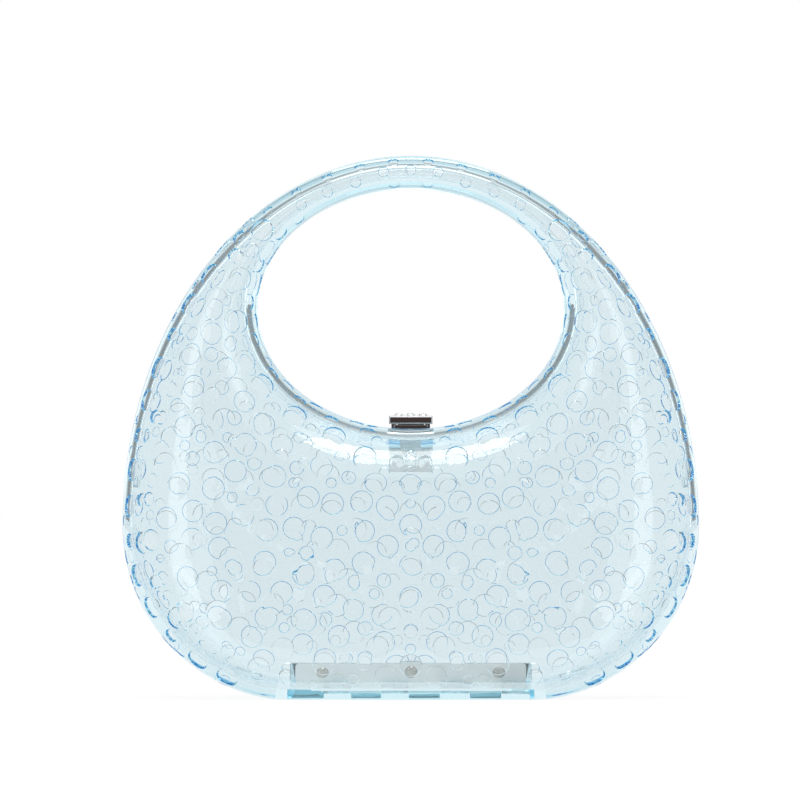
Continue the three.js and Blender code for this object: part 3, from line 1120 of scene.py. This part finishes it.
@dataclass
class Shell:
    """One moulded half of the body and handle."""

    form: BagForm
    hinge: "Hinge"
    seam_gap: float = 0.3
    seam_ease: float = 0.25
    rays: int = 288
    ray_crowding: float = 0.35
    outer_facets: int = 96
    inner_facets: int = 60
    fit_gap: float = 0.3
    rib_half_length: float = 46.0
    rib_y: Pair = (-3.9, -0.3)
    rib_top_z: float = 13.0
    rib_ease: float = 0.5
    slot_y: Pair = (-5.3, 5.3)
    slot_z: Pair = (-2.0, 4.7)
    foot_xs: tuple[Pair, ...] = ((-46.8, -33.0), (-22.6, -11.2), (-0.8, 11.0), (22.4, 34.2), (45.0, 46.8))
    foot_y: Pair = (-29.3, -1.0)
    foot_z: Pair = (0.6, 4.1)
    foot_ease: float = 0.3
    rail_y: Pair = (-29.3, -6.0)
    rail_z: Pair = (3.4, 4.1)
    rail_ease: float = 0.15
    groove_half_length: float = 62.0
    groove_foot_z: float = -0.6
    landing_half_width: float = 8.6
    landing_y: Pair = (-12.0, 12.0)
    landing_sunk: float = 0.6
    boss_half_width: float = 8.2
    boss_y: Pair = (-9.0, -0.9)
    boss_low_z: float = 96.1
    tang_half_width: float = 4.1
    tang_y: Pair = (-4.5, -2.4)
    rivet_bore_y: Pair = (-7.5, 0.0)
    rivet_bore_facets: int = 24
    crease_deg: float = 30.0
    wall_lean: float = 0.9
    wall_slack: float = 0.04
    flat_lean: float = 0.9999

    def build(self, side: Side, finish: Material, seats: StoneSeats) -> None:
        """Makes one half with its seats and cuts, and dresses it.

        Args:
            side: which half.
            finish: the shell's material.
            seats: the seats to cut, already laid out.
        """
        shell = to_object(self.wall_mesh(), f"moulded_half_{side.word}")
        carve(shell, self.tools(seats))
        shade(shell.data, self.crease_deg)
        self.smooth_walls(shell.data)
        turn_round(shell, side)
        dress(shell, finish, side.body, f"{side.word}_shell")

    def section_rows(self) -> list[Triple]:
        """The closed path round the wall's section.

        Returns:
            The turn, the inset and the lift off the seam at each step.
        """
        outer, inner = self.outer_facets, self.inner_facets
        rows = [(0.0, self.seam_ease, 0.0)]
        rows += [(math.pi * i / outer, 0.0, self.seam_ease) for i in range(outer + 1)]
        rows += [(math.pi, self.seam_ease, 0.0)]
        rows += [(math.pi * (1 - i / inner), self.form.wall, 0.0) for i in range(inner + 1)]
        return rows + rows[:1]

    def wall_mesh(self) -> BMesh:
        """The moulded wall of a front half, a grid rolled round the section and round the hole.

        Returns:
            The wall's mesh.
        """
        rows = self.section_rows()
        bm = bmesh.new()
        bmesh.ops.create_grid(bm, x_segments=self.rays, y_segments=len(rows) - 1, size=1.0)
        for vert in bm.verts:
            share = (vert.co.x + 1) / 2
            turn, inset, lift = rows[round((vert.co.y + 1) / 2 * (len(rows) - 1))]
            angle = TAU * round(share * self.rays) / self.rays
            angle -= self.ray_crowding * math.cos(angle)
            vert.co = self.form.point(angle, turn, inset)
            vert.co.y = min(vert.co.y, -lift - self.seam_gap / 2)
        bmesh.ops.remove_doubles(bm, verts=bm.verts, dist=MERGE_REACH)
        bmesh.ops.recalc_face_normals(bm, faces=bm.faces)
        return bm

    def tools(self, seats: StoneSeats) -> list[Tool]:
        """The tools that turn the plain wall into the finished half.

        Args:
            seats: the seats to cut.

        Returns:
            Each tool with what it does, in order.
        """
        form, hinge = self.form, self.hinge
        feet = [(xs, self.foot_y, self.foot_z) for xs in self.foot_xs]
        rail = ((self.foot_xs[0][0], self.foot_xs[-1][1]), self.rail_y, self.rail_z)
        boss = (both(self.boss_half_width), self.boss_y, (self.boss_low_z, form.rim_z - form.wall / 2))
        slot = (both(hinge.half_length + self.fit_gap), self.slot_y, self.slot_z)
        landing_z = (form.rim_z - self.landing_sunk, form.hole_z)
        landing = (both(self.landing_half_width), self.landing_y, landing_z)
        tang = (both(self.tang_half_width), self.tang_y, (self.boss_low_z - self.fit_gap, form.hole_z))
        bores = [tuple((x, y, hinge.rivet_z) for y in self.rivet_bore_y) for x in hinge.rivet_xs]
        return [
            # Flat-fronted blocks in the base, with a thin rail along their tops.
            (box_piece("foot_tool", *feet, ease=self.foot_ease), Carving.JOIN),
            (box_piece("rail_tool", rail, ease=self.rail_ease), Carving.JOIN),
            # The rib that carries the hinge leaf, and the thick block under the rim that takes the clasp.
            (self.rib_tool(), Carving.JOIN),
            (box_piece("boss_tool", boss), Carving.JOIN),
            # The slot for the knuckles, and the groove under the seam that lets the halves swing open.
            (box_piece("slot_tool", slot), Carving.CUT),
            (self.groove_tool(), Carving.CUT),
            # The clasp's flat landing on the rim, the hole for its tang, and the bores for the rivets.
            (box_piece("landing_tool", landing), Carving.CUT),
            (box_piece("tang_tool", tang), Carving.CUT),
            (rod_piece("rivet_tool", bores, hinge.rivet_bore, self.rivet_bore_facets), Carving.CUT),
            (seats.cutter("seat_tool"), Carving.CUT),
        ]

    def rib_tool(self) -> Object:
        """The upright rib, with its upper edges rounded.

        Returns:
            The tool.
        """
        bm = bmesh.new()
        low = self.form.floor_z / 2
        block(bm, both(self.rib_half_length), self.rib_y, (low, self.rib_top_z))
        tops = [edge for edge in bm.edges if all(vert.co.z > low for vert in edge.verts)]
        ease_edges(bm, tops, self.rib_ease)
        return to_object(bm, "rib_tool")

    def groove_tool(self) -> Object:
        """The groove, a triangle whose sides slope at 45 degrees.

        Returns:
            The tool.
        """
        bm = bmesh.new()
        half = self.groove_half_length
        foot, apex = self.groove_foot_z, self.hinge.axis_z + self.fit_gap
        corners = [(-half, foot - apex, foot), (-half, apex - foot, foot), (-half, 0.0, apex)]
        sweep(bm, corners, (2 * half, 0, 0))
        return to_object(bm, "groove_tool")

    def smooth_walls(self, mesh: Mesh) -> None:
        """Gives the walls the form's own normals, so that they refract smoothly.

        Args:
            mesh: the carved mesh of a front half.
        """
        slopes = [self.wall_normal(vert.co / MM) for vert in mesh.vertices]
        normals = [Vector((0, 0, 0))] * len(mesh.loops)
        for face in mesh.polygons:
            if abs(face.normal.z) > self.flat_lean:
                continue
            for corner in face.loop_indices:
                slope = slopes[mesh.loops[corner].vertex_index]
                if slope.dot(face.normal) > self.wall_lean:
                    normals[corner] = slope
        mesh.normals_split_custom_set(normals)

    def wall_normal(self, place: Vector) -> Vector:
        """The wall's own normal at a point.

        Args:
            place: the point.

        Returns:
            The normal of the outer or the inner surface, or zero for a point on neither.
        """
        if abs(self.form.fullness(place) - 1) < self.wall_slack:
            return self.form.normal(place)
        if abs(self.form.fullness(place, self.form.wall) - 1) < self.wall_slack:
            return -self.form.normal(place, self.form.wall)
        return Vector((0, 0, 0))


@dataclass
class Hinge:
    """The piano hinge in the base: two leaves with alternating knuckles, a pin and rivets."""

    half_length: float = 44.0
    axis_z: float = 2.2
    knuckles: int = 8
    knuckle_gap: float = 0.15
    knuckle_radius: float = 1.9
    knuckle_facets: int = 40
    bore: float = 1.2
    pin_radius: float = 0.9
    pin_ease: float = 0.3
    leaf_y: Pair = (-5.0, -4.2)
    leaf_z: Pair = (2.6, 13.0)
    strap_z: Pair = (2.6, 3.4)
    corner_ease: float = 1.4
    corner_facets: int = 5
    edge_ease: float = 0.1
    rivet_xs: tuple[float, ...] = (-33.6, 0.0, 33.6)
    rivet_z: float = 9.2
    rivet_base_y: float = -5.05
    rivet_shank: Pair = (1.0, 4.75)
    rivet_head: Pair = (2.4, 1.3)
    rivet_flat: float = 1.5
    rivet_bore: float = 1.3
    rivet_bore_y: Pair = (-5.8, 0.0)

    def build(self, steel: Material, dark: Material) -> None:
        """Makes the hinge's pieces and dresses them.

        Args:
            steel: the material of the leaves and the pin.
            dark: the material of the rivets, darker than the leaves to paint in the shade round their domed
                heads.
        """
        for side in Side:
            leaf = to_object(self.plate(), f"piano_leaf_{side.word}")
            carve(leaf, self.leaf_tools())
            soften(leaf, self.edge_ease)
            turn_round(leaf, side)
            dress(leaf, steel, side.body, f"hinge_leaf_{side.word}")
            for count, x in enumerate(self.rivet_xs, start=1):
                bm = bmesh.new()
                profile = headed(self.rivet_shank, self.rivet_head, self.rivet_flat)
                turned(bm, profile, (x, self.rivet_base_y, self.rivet_z))
                rivet = to_object(bm, f"domed_rivet_{side.word}_{count}")
                turn_round(rivet, side)
                dress(rivet, dark, side.body, f"hinge_rivet_{side.word}_{count}")
        ends = crosswise(self.half_length, 0, self.axis_z)
        pin = pin_piece("piano_pin", ends, self.pin_radius, self.pin_ease)
        dress(pin, steel, Body.BACK, "hinge_pin")

    def plate(self) -> BMesh:
        """The flat plate of the front leaf, with its upper corners rounded.

        Returns:
            The plate's mesh.
        """
        bm = bmesh.new()
        block(bm, both(self.half_length), self.leaf_y, self.leaf_z)
        middle_z = sum(self.leaf_z) / 2
        corners = [
            edge
            for edge in bm.edges
            if edge.verts[0].co.y != edge.verts[1].co.y and edge.verts[0].co.z > middle_z
        ]
        ease_edges(bm, corners, self.corner_ease, self.corner_facets)
        return bm

    def leaf_tools(self) -> list[Tool]:
        """The front leaf's straps and knuckles, the bore through them and the holes for the rivets.

        Returns:
            Each tool with what it does, in order.
        """
        pitch, gap, z = 2 * self.half_length / self.knuckles, self.knuckle_gap, self.axis_z
        starts = [pitch * count - self.half_length for count in range(1, self.knuckles, 2)]
        spans = [(start + gap, start + pitch - gap) for start in starts]
        straps = [(span, (self.leaf_y[0], -self.bore), self.strap_z) for span in spans]
        barrels = [((start, 0, z), (end, 0, z)) for start, end in spans]
        reach = self.half_length + self.knuckle_radius
        holes = [tuple((x, y, self.rivet_z) for y in self.rivet_bore_y) for x in self.rivet_xs]
        return [
            (box_piece("strap_tool", *straps), Carving.JOIN),
            (rod_piece("barrel_tool", barrels, self.knuckle_radius, self.knuckle_facets), Carving.JOIN),
            (rod_piece("bore_tool", [crosswise(reach, 0, z)], self.bore), Carving.CUT),
            (rod_piece("rivet_bore_tool", holes, self.rivet_bore), Carving.CUT),
        ]


@dataclass(frozen=True)
class FacetRing:
    """A ring of a stone's corners: how many, how far out, how high over the lever and how far turned."""

    corners: int
    radius: float
    rise: float
    turn_deg: float = 0.0


@dataclass
class Clasp:
    """The flip clasp on the lower rim of the hole: two rim blocks, a lever with stones and inner brackets."""

    block_half_width: float = 6.35
    block_z: Pair = (102.5, 104.2)
    catch_y: Pair = (-6.6, -0.6)
    base_y: Pair = (0.6, 7.2)
    ridge_half_width: float = 4.0
    ridge_y: float = -3.4
    ridge_radius: float = 0.7
    pin_y: float = 5.7
    pin_z: float = 105.3
    pin_radius: float = 0.7
    pin_half_length: float = 7.4
    pin_bore: float = 1.0
    trough_radius: float = 1.8
    ear_inner_x: float = 5.4
    ear_radius: float = 1.6
    edge_ease: float = 0.14
    lever_half_width: float = 8.25
    lever_y: Pair = (-7.4, 3.4)
    lever_z: Pair = (106.4, 107.6)
    lip_thick: float = 1.2
    lip_low_z: float = 104.6
    front_margin: float = 0.24
    front_slope: float = 0.3
    lever_ease: float = 0.08
    lever_crease_deg: float = 50.0
    prong_crease_deg: float = 40.0
    tongue_half_width: float = 5.1
    lever_knuckle: float = 1.5
    stone_xs: tuple[float, ...] = (-4.6, 0.0, 4.6)
    stone_ys: tuple[float, ...] = (-4.3, 0.3)
    seat_radius: float = 2.15
    seat_deep: float = 0.8
    prong_away: float = 2.3 / math.sqrt(2)
    prong_rise: Pair = (-0.5, 0.62)
    prong_radii: Pair = (0.36, 0.18)
    prong_facets: int = 12
    stone_rings: tuple[FacetRing, ...] = (
        FacetRing(8, 1.1, -0.5),
        FacetRing(16, 1.9, 0.15),
        FacetRing(16, 1.9, 0.3),
        FacetRing(8, 1.62, 0.62),
        FacetRing(8, 1.15, 1.0, turn_deg=22.5),
    )
    stone_crease_deg: float = 5.0
    facet_flat_deg: float = 1.0
    bracket_y: Pair = (-4.2, -2.7)
    bracket_z: Triple = (86.6, 95.8, 102.2)
    plate_half_width: float = 8.0
    tang_half_width: float = 3.8
    foot_half_width: float = 3.4
    foot_y: Pair = (-6.4, -3.45)
    foot_z: Pair = (86.65, 87.65)
    screw_z: float = 93.5
    screw_base_y: float = -4.25
    screw_shank: Pair = (0.8, 1.8)
    screw_head: Pair = (2.4, 1.5)
    screw_crease_deg: float = 35.0
    screw_bore: float = 1.1
    screw_bore_y: Pair = (-7.2, 0.0)
    slot_half_width: float = 0.3
    slot_deep: float = 0.55
    slot_turn_deg: float = 35.0

    def build(self, chrome: Material, nickel: Material, steel: Material, crystal: Material) -> None:
        """Makes the clasp's pieces and dresses them.

        Args:
            chrome: the material of the blocks, the lever and the screws.
            nickel: the material of the brackets.
            steel: the material of the lever's pin.
            crystal: the material of the stones.
        """
        self.build_catch(chrome)
        self.build_base(chrome)
        self.build_lever(chrome)
        for side in Side:
            self.build_bracket(side, nickel, chrome)
        ends = crosswise(self.pin_half_length, self.pin_y, self.pin_z)
        pin = pin_piece("lever_pin", ends, self.pin_radius, self.pin_radius / 3)
        dress(pin, steel, Body.BACK, "clasp_pin")
        for count, place in enumerate(self.stone_places(), start=1):
            stone = to_object(self.stone(*place), f"cut_stone_{count}", self.stone_crease_deg)
            dress(stone, crystal, Body.FLAP, f"clasp_stone_{count}")

    def stone_places(self) -> list[Pair]:
        """The middles of the stones."""
        return [(x, y) for y in self.stone_ys for x in self.stone_xs]

    def axle(self, name: str, radius: float, half: float) -> Object:
        """A round tool on the pin's axis."""
        return rod_piece(name, [crosswise(half, self.pin_y, self.pin_z)], radius)

    def build_catch(self, chrome: Material) -> None:
        """Makes the block on the front rim, with a snap ridge on top.

        Args:
            chrome: its material.
        """
        catch = box_piece("snap_block", (both(self.block_half_width), self.catch_y, self.block_z))
        ridge = crosswise(self.ridge_half_width, self.ridge_y, self.block_z[1])
        carve(catch, [(rod_piece("ridge_tool", [ridge], self.ridge_radius), Carving.JOIN)])
        soften(catch, self.edge_ease)
        dress(catch, chrome, Body.FRONT, "clasp_catch")

    def build_base(self, chrome: Material) -> None:
        """Makes the block on the rear rim, with two ears for the lever's pin.

        Args:
            chrome: its material.
        """
        base = box_piece("ear_block", (both(self.block_half_width), self.base_y, self.block_z))
        inner, outer = self.ear_inner_x, self.pin_half_length
        spans = [(-outer, -inner), (inner, outer)]
        post_y = (self.pin_y - self.ear_radius, self.pin_y + self.ear_radius)
        posts = [(span, post_y, (self.block_z[0], self.pin_z)) for span in spans]
        rounds = [tuple((x, self.pin_y, self.pin_z) for x in span) for span in spans]
        tools = [
            (self.axle("trough_tool", self.trough_radius, inner), Carving.CUT),
            (box_piece("post_tool", *posts), Carving.JOIN),
            (rod_piece("ear_tool", rounds, self.ear_radius), Carving.JOIN),
            (self.axle("pin_bore_tool", self.pin_bore, 2 * self.block_half_width), Carving.CUT),
        ]
        carve(base, tools)
        soften(base, self.edge_ease)
        dress(base, chrome, Body.BACK, "clasp_base")

    def build_lever(self, chrome: Material) -> None:
        """Makes the lever with its lip, tongue and knuckle, and the seats and prongs of its stones.

        Args:
            chrome: its material.
        """
        lever = to_object(self.lever_plate(), "stone_lever")
        half, top = self.tongue_half_width, self.lever_z[1]
        tongue = (both(half), (self.lever_y[1] - self.lip_thick, self.pin_y), self.lever_z)
        floor, mouth = top - self.seat_deep, top + self.seat_deep
        seats = [((x, y, floor), (x, y, mouth)) for x, y in self.stone_places()]
        tools = [
            (box_piece("tongue_tool", tongue), Carving.JOIN),
            (self.axle("knuckle_tool", self.lever_knuckle, half), Carving.JOIN),
            (self.axle("lever_bore_tool", self.pin_bore, self.lever_half_width), Carving.CUT),
            (rod_piece("stone_seat_tool", seats, self.seat_radius), Carving.CUT),
        ]
        carve(lever, tools)
        soften(lever, self.lever_ease, self.lever_crease_deg)
        carve(lever, [(self.prongs(), Carving.JOIN)])
        shade(lever.data, self.prong_crease_deg)
        level_normals(lever)
        dress(lever, chrome, Body.FLAP, "clasp_lever")

    def lever_plate(self) -> BMesh:
        """The lever's plate and its turned-down lip, with a raised panel on the front face.

        Returns:
            The plate's mesh.
        """
        bm = bmesh.new()
        (tip, back), (low, top), half = self.lever_y, self.lever_z, self.lever_half_width
        front, inside, lip = tip + self.front_slope, tip + self.lip_thick, self.lip_low_z
        outline = [(back, low), (back, top), (front, top), (front, lip), (inside, lip), (inside, low)]
        sweep(bm, [(-half, y, z) for y, z in outline], (2 * half, 0, 0))
        panel = min(bm.faces, key=lambda face: face.calc_center_median().y)
        bmesh.ops.inset_individual(bm, faces=[panel], thickness=self.front_margin)
        bmesh.ops.inset_individual(bm, faces=[panel], thickness=self.front_slope, depth=self.front_slope)
        return bm

    def prongs(self) -> Object:
        """Four small prongs round each stone.

        Returns:
            The tool.
        """
        bm = bmesh.new()
        away, signs = self.prong_away, ((1, 1), (1, -1), (-1, 1), (-1, -1))
        for x, y in self.stone_places():
            for right, ahead in signs:
                foot, tip = (
                    (x + right * away, y + ahead * away, self.lever_z[1] + rise) for rise in self.prong_rise
                )
                rod(bm, (foot, tip), *self.prong_radii, self.prong_facets)
        return to_object(bm, "prong_tool")

    def stone(self, x: float, y: float) -> BMesh:
        """A round stone with a flat table, two rows of crown facets and a blunt foot.

        Args:
            x: its middle along X.
            y: its middle along Y.

        Returns:
            The stone's mesh.
        """
        bm = bmesh.new()
        for ring in self.stone_rings:
            place = Matrix.Translation((x, y, self.lever_z[1] + ring.rise))
            turn = Matrix.Rotation(math.radians(ring.turn_deg), 4, "Z")
            bmesh.ops.create_circle(bm, segments=ring.corners, radius=ring.radius, matrix=place @ turn)
        bmesh.ops.convex_hull(bm, input=bm.verts)
        flat = math.radians(self.facet_flat_deg)
        bmesh.ops.dissolve_limit(bm, angle_limit=flat, verts=bm.verts, edges=bm.edges)
        bmesh.ops.recalc_face_normals(bm, faces=bm.faces)
        return bm

    def build_bracket(self, side: Side, nickel: Material, chrome: Material) -> None:
        """Makes one bracket inside a shell, with its screw.

        Args:
            side: which half it is in.
            nickel: the bracket's material.
            chrome: the screw's material.
        """
        bracket = to_object(self.plate(), f"rim_bracket_{side.word}")
        bore = tuple((0, y, self.screw_z) for y in self.screw_bore_y)
        tools = [
            (box_piece("foot_tool", (both(self.foot_half_width), self.foot_y, self.foot_z)), Carving.JOIN),
            (rod_piece("screw_bore_tool", [bore], self.screw_bore), Carving.CUT),
        ]
        carve(bracket, tools)
        soften(bracket, self.edge_ease)
        turn_round(bracket, side)
        dress(bracket, nickel, side.body, f"clasp_bracket_{side.word}")
        bm = bmesh.new()
        turned(bm, headed(self.screw_shank, self.screw_head), (0, self.screw_base_y, self.screw_z))
        screw = to_object(bm, f"slotted_screw_{side.word}")
        carve(screw, [(self.screw_slot(), Carving.CUT)])
        shade(screw.data, self.screw_crease_deg)
        turn_round(screw, side)
        dress(screw, chrome, side.body, f"clasp_screw_{side.word}")

    def plate(self) -> BMesh:
        """The front bracket's plate, with its tang through the rim.

        Returns:
            The plate's mesh.
        """
        wide, narrow = self.plate_half_width, self.tang_half_width
        low, shoulder, top = self.bracket_z
        far, near = self.bracket_y
        right = [(wide, low), (wide, shoulder), (narrow, shoulder), (narrow, top)]
        outline = right + [(-x, z) for x, z in reversed(right)]
        bm = bmesh.new()
        sweep(bm, [(x, near, z) for x, z in outline], (0, far - near, 0))
        return bm

    def screw_slot(self) -> Object:
        """The slot across the screw's head.

        Returns:
            The tool.
        """
        bm = bmesh.new()
        top, deep = self.screw_base_y - self.screw_head[1], self.slot_deep
        block(bm, both(2 * self.screw_head[0]), (top - deep, top + deep), both(self.slot_half_width))
        turn = Matrix.Rotation(math.radians(self.slot_turn_deg), 4, "Y")
        bmesh.ops.transform(bm, matrix=Matrix.Translation((0, 0, self.screw_z)) @ turn, verts=bm.verts)
        return to_object(bm, "screw_slot_tool")


@dataclass
class LocatingTabs:
    """Four clear tabs on the rear half that slide into the front one and line the two up."""

    form: BagForm
    angles_deg: tuple[float, ...] = (-31.0, -66.0, 211.0, 246.0)
    sunk: float = 5.7
    half_width: float = 5.5
    half_thick: float = 1.2
    root_y: float = 5.0
    neck_y: float = -2.4
    tip_y: float = -4.0
    tip_narrow: float = 0.8
    tip_thin: float = 0.55
    ease: float = 0.3
    aim_step: float = 0.01

    def build(self, clear: Material) -> None:
        """Makes the tabs and dresses them.

        Args:
            clear: their material.
        """
        for count, angle_deg in enumerate(self.angles_deg, start=1):
            tab = to_object(self.tab(math.radians(angle_deg)), f"lead_in_tab_{count}")
            dress(tab, clear, Body.BACK, f"locating_tab_{count}")

    def tab(self, angle: float) -> BMesh:
        """One tab with a tapered tip, laid along the wall.

        Args:
            angle: its ray round the hole.

        Returns:
            The tab's mesh.
        """
        bm = bmesh.new()
        block(bm, both(self.half_width), (self.neck_y, self.root_y), both(self.half_thick))
        front = min(bm.faces, key=lambda face: face.calc_center_median().y)
        tip = bmesh.ops.extrude_discrete_faces(bm, faces=[front])["faces"][0]
        for vert in tip.verts:
            vert.co = Vector((vert.co.x * self.tip_narrow, self.tip_y, vert.co.z * self.tip_thin))
        bmesh.ops.recalc_face_normals(bm, faces=bm.faces)
        ease_edges(bm, bm.edges, self.ease)
        here = self.form.point(angle, 0.0, self.sunk)
        ahead = self.form.point(angle + self.aim_step, 0.0, self.sunk) - here
        turn = Matrix.Rotation(-math.atan2(ahead.z, ahead.x), 4, "Y")
        bmesh.ops.transform(bm, matrix=Matrix.Translation(here) @ turn, verts=bm.verts)
        return bm


@dataclass(frozen=True)
class SoftBox:
    """A rectangular lamp: its place, its size and how bright its face is."""

    name: str
    place: Triple
    width: float
    height: float
    radiance: float

    def build(self, aim: Triple) -> None:
        """Adds the lamp, turned to a point.

        Args:
            aim: the point that it faces.
        """
        lamp = bpy.data.lights.new(self.name, "AREA")
        lamp.shape = "RECTANGLE"
        lamp.size = self.width
        lamp.size_y = self.height
        lamp.energy = math.pi * self.width * self.height * self.radiance
        holder = bpy.data.objects.new(self.name, lamp)
        holder.location = self.place
        facing = Vector(aim) - Vector(self.place)
        holder.rotation_euler = facing.to_track_quat("-Z", "Y").to_euler()
        bpy.context.scene.collection.objects.link(holder)


@dataclass
class Studio:
    """A white sweep under soft light, and the camera.

    The floor and the card are in millimetres, as every mesh is, and the camera and the lamps in metres.
    """

    camera_place: Triple = (-0.0041, -4.0, 0.1137)
    view_width: float = 0.3053
    sensor: float = 36.0
    floor_half: float = 6000.0
    floor_albedo: float = 0.08
    floor_glow: Triple = (0.93, 0.93, 0.93)
    card_span: tuple[Pair, Pair, Pair] = ((-220.0, 220.0), (-620.0, -600.0), (2.0, 300.0))
    card_glow: Triple = (0.06, 0.042, 0.04)
    world_stops: tuple[Pair, ...] = ((-0.9, 0.82), (0.32, 0.93), (0.5, 0.3), (0.78, 0.3), (0.89, 1.0))
    sky_span: Pair = (0.55, 0.95)
    sky_white: float = 0.97
    bounces: int = 96
    clear_bounces: int = 16
    aim: Triple = (0.0, 0.0, 0.1)
    lamps: tuple[SoftBox, ...] = (
        SoftBox("front_box", (0.0, -0.86, 1.13), 0.26, 0.37, 8.0),
        SoftBox("front_left_box", (-0.2, -0.83, 1.16), 0.14, 0.3, 2.0),
        SoftBox("front_right_box", (0.2, -0.83, 1.16), 0.14, 0.3, 2.0),
        SoftBox("top_box", (0.0, 0.0, 1.5), 1.0, 1.0, 1.2),
        SoftBox("left_box", (-0.55, -1.5, 0.35), 0.5, 1.0, 1.4),
        SoftBox("right_box", (0.55, -1.5, 0.35), 0.5, 1.0, 1.4),
    )

    def build(self) -> None:
        """Makes the camera, the floor, the world and the lights."""
        self.build_camera()
        self.build_floor()
        self.build_card()
        self.build_world()
        for lamp in self.lamps:
            lamp.build(self.aim)
        self.set_light_paths()

    def build_camera(self) -> None:
        """A level camera in front of the bag."""
        lens = bpy.data.cameras.new("camera")
        lens.sensor_width = self.sensor
        lens.lens = self.sensor * abs(self.camera_place[1]) / self.view_width
        camera = bpy.data.objects.new("camera", lens)
        camera.location = self.camera_place
        camera.rotation_euler = (math.pi / 2, 0, 0)
        bpy.context.scene.collection.objects.link(camera)
        bpy.context.scene.camera = camera

    def matt(self, name: str, albedo: float, glow: Triple) -> Material:
        """A dull surface that glows by itself.

        Args:
            name: the material's name.
            albedo: how much of the light it sends back.
            glow: the light that it gives off.

        Returns:
            The material.
        """
        material, sketch, shader = begin_material(name)
        sketch.set(shader, Base_Color=(albedo, albedo, albedo, 1), Roughness=1.0, Specular_IOR_Level=0.0)
        sketch.set(shader, Emission_Color=(*glow, 1), Emission_Strength=1.0)
        return material

    def build_floor(self) -> None:
        """A pale floor that glows, so that it stays as white as the wall behind."""
        bm = bmesh.new()
        bmesh.ops.create_grid(bm, x_segments=4, y_segments=4, size=self.floor_half)
        floor = to_object(bm, "studio_floor")
        floor.data.materials.append(self.matt("floor_white", self.floor_albedo, self.floor_glow))

    def build_card(self) -> None:
        """A dark card before the bag that only reflections see, so that flat chrome reads dark."""
        card = box_piece("dark_card", self.card_span)
        card.data.materials.append(self.matt("card_black", 0.0, self.card_glow))
        card.visible_camera = False
        card.visible_diffuse = False
        card.visible_transmission = False
        card.visible_volume_scatter = False
        card.visible_shadow = False

    def build_world(self) -> None:
        """A world that is white behind the bag and above it, with grey sides that draw its edges."""
        world = bpy.data.worlds.new("studio")
        bpy.context.scene.world = world
        world.use_nodes = True
        sketch = NodeSketch(world.node_tree)
        place = sketch.add("TexCoord")
        split = sketch.add("SeparateXYZ")
        sketch.link(place.outputs["Generated"], split.inputs[0])
        share = sketch.add("MapRange")
        sketch.set(share, From_Min=-1.0, From_Max=1.0)
        sketch.link(split.outputs["Y"], share.inputs["Value"])
        ramp = sketch.add("ValToRGB")
        ramp.color_ramp.interpolation = "EASE"
        stops = ramp.color_ramp.elements
        while len(stops) < len(self.world_stops):
            stops.new(0.5)
        for stop, (toward, white) in zip(stops, self.world_stops):
            stop.position = (toward + 1) / 2
            stop.color = (white, white, white, 1)
        sketch.link(share.outputs["Result"], ramp.inputs["Fac"])
        color = sketch.add("Mix", data_type="RGBA")
        color.inputs["B"].default_value = (self.sky_white, self.sky_white, self.sky_white, 1)
        sketch.link(ramp.outputs["Color"], color.inputs["A"])
        sketch.link(sketch.span(split.outputs["Z"], self.sky_span, (0, 1)), color.inputs["Factor"])
        sketch.link(color.outputs["Result"], world.node_tree.nodes["Background"].inputs["Color"])

    def set_light_paths(self) -> None:
        """Lets light through many walls of clear acrylic, and keeps white white."""
        scene = bpy.context.scene
        scene.cycles.max_bounces = self.bounces
        scene.cycles.transmission_bounces = self.bounces
        scene.cycles.glossy_bounces = self.bounces
        scene.cycles.transparent_max_bounces = self.clear_bounces
        scene.view_settings.view_transform = "Standard"
        scene.view_settings.look = "None"


@dataclass(frozen=True)
class Finishes:
    """The finishes of the bag's pieces."""

    acrylic: ClearPlastic = ClearPlastic(
        "blue_acrylic", tint=(0.0, 0.733, 0.925), density=26.0, surface=(0.918, 0.931, 0.937)
    )
    clear: ClearPlastic = ClearPlastic("clear_acrylic", tint=(0.5, 0.85, 0.95), density=15.0)
    crystal: ClearPlastic = ClearPlastic(
        "crystal", tint=(0.95, 0.97, 0.98), density=5.0, index=1.9, smudge_roughness=0.0, ripple_deep=0.0
    )
    chrome: BareMetal = BareMetal(
        "polished_chrome", (0.78, 0.79, 0.8), (0.7, 0.71, 0.72), polish=0.03, scratch_roughness=0.06
    )
    nickel: BareMetal = BareMetal(
        "satin_nickel", (0.93, 0.92, 0.9), (0.85, 0.84, 0.82), polish=0.45, scratch_roughness=0.08
    )
    steel: BareMetal = BareMetal(
        "satin_steel",
        (0.88, 0.87, 0.85),
        (0.74, 0.73, 0.71),
        polish=0.3,
        scratch_roughness=0.12,
        smudge_roughness=0.06,
        ripple_deep=0.00002,
    )
    # The rivets' darker colour is painted shade: it stands in for the shading round their domed heads.
    rivet: BareMetal = BareMetal(
        "shade_darkened_rivet",
        (0.58, 0.54, 0.5),
        (0.46, 0.43, 0.4),
        polish=0.12,
        scratch_roughness=0.1,
        smudge_roughness=0.06,
    )


def main() -> None:
    """Builds the studio and the bag's pieces in order."""
    logging.basicConfig(level=logging.INFO, format="%(name)s %(message)s")
    Studio().build()
    form = BagForm()
    hinge = Hinge()
    finishes = Finishes()
    acrylic = finishes.acrylic.material()
    steel = finishes.steel.material()
    for side, seed in SEAT_SEEDS.items():
        seats = StoneSeats(form, seed)
        seats.lay_out()
        LOG.info("%s: %d seats", side.word, len(seats.seats))
        Shell(form, hinge).build(side, acrylic, seats)
    chrome = finishes.chrome.material()
    hinge.build(steel, finishes.rivet.material())
    Clasp().build(chrome, finishes.nickel.material(), steel, finishes.crystal.material())
    LocatingTabs(form).build(finishes.clear.material())


if __name__ == "__main__":
    main()
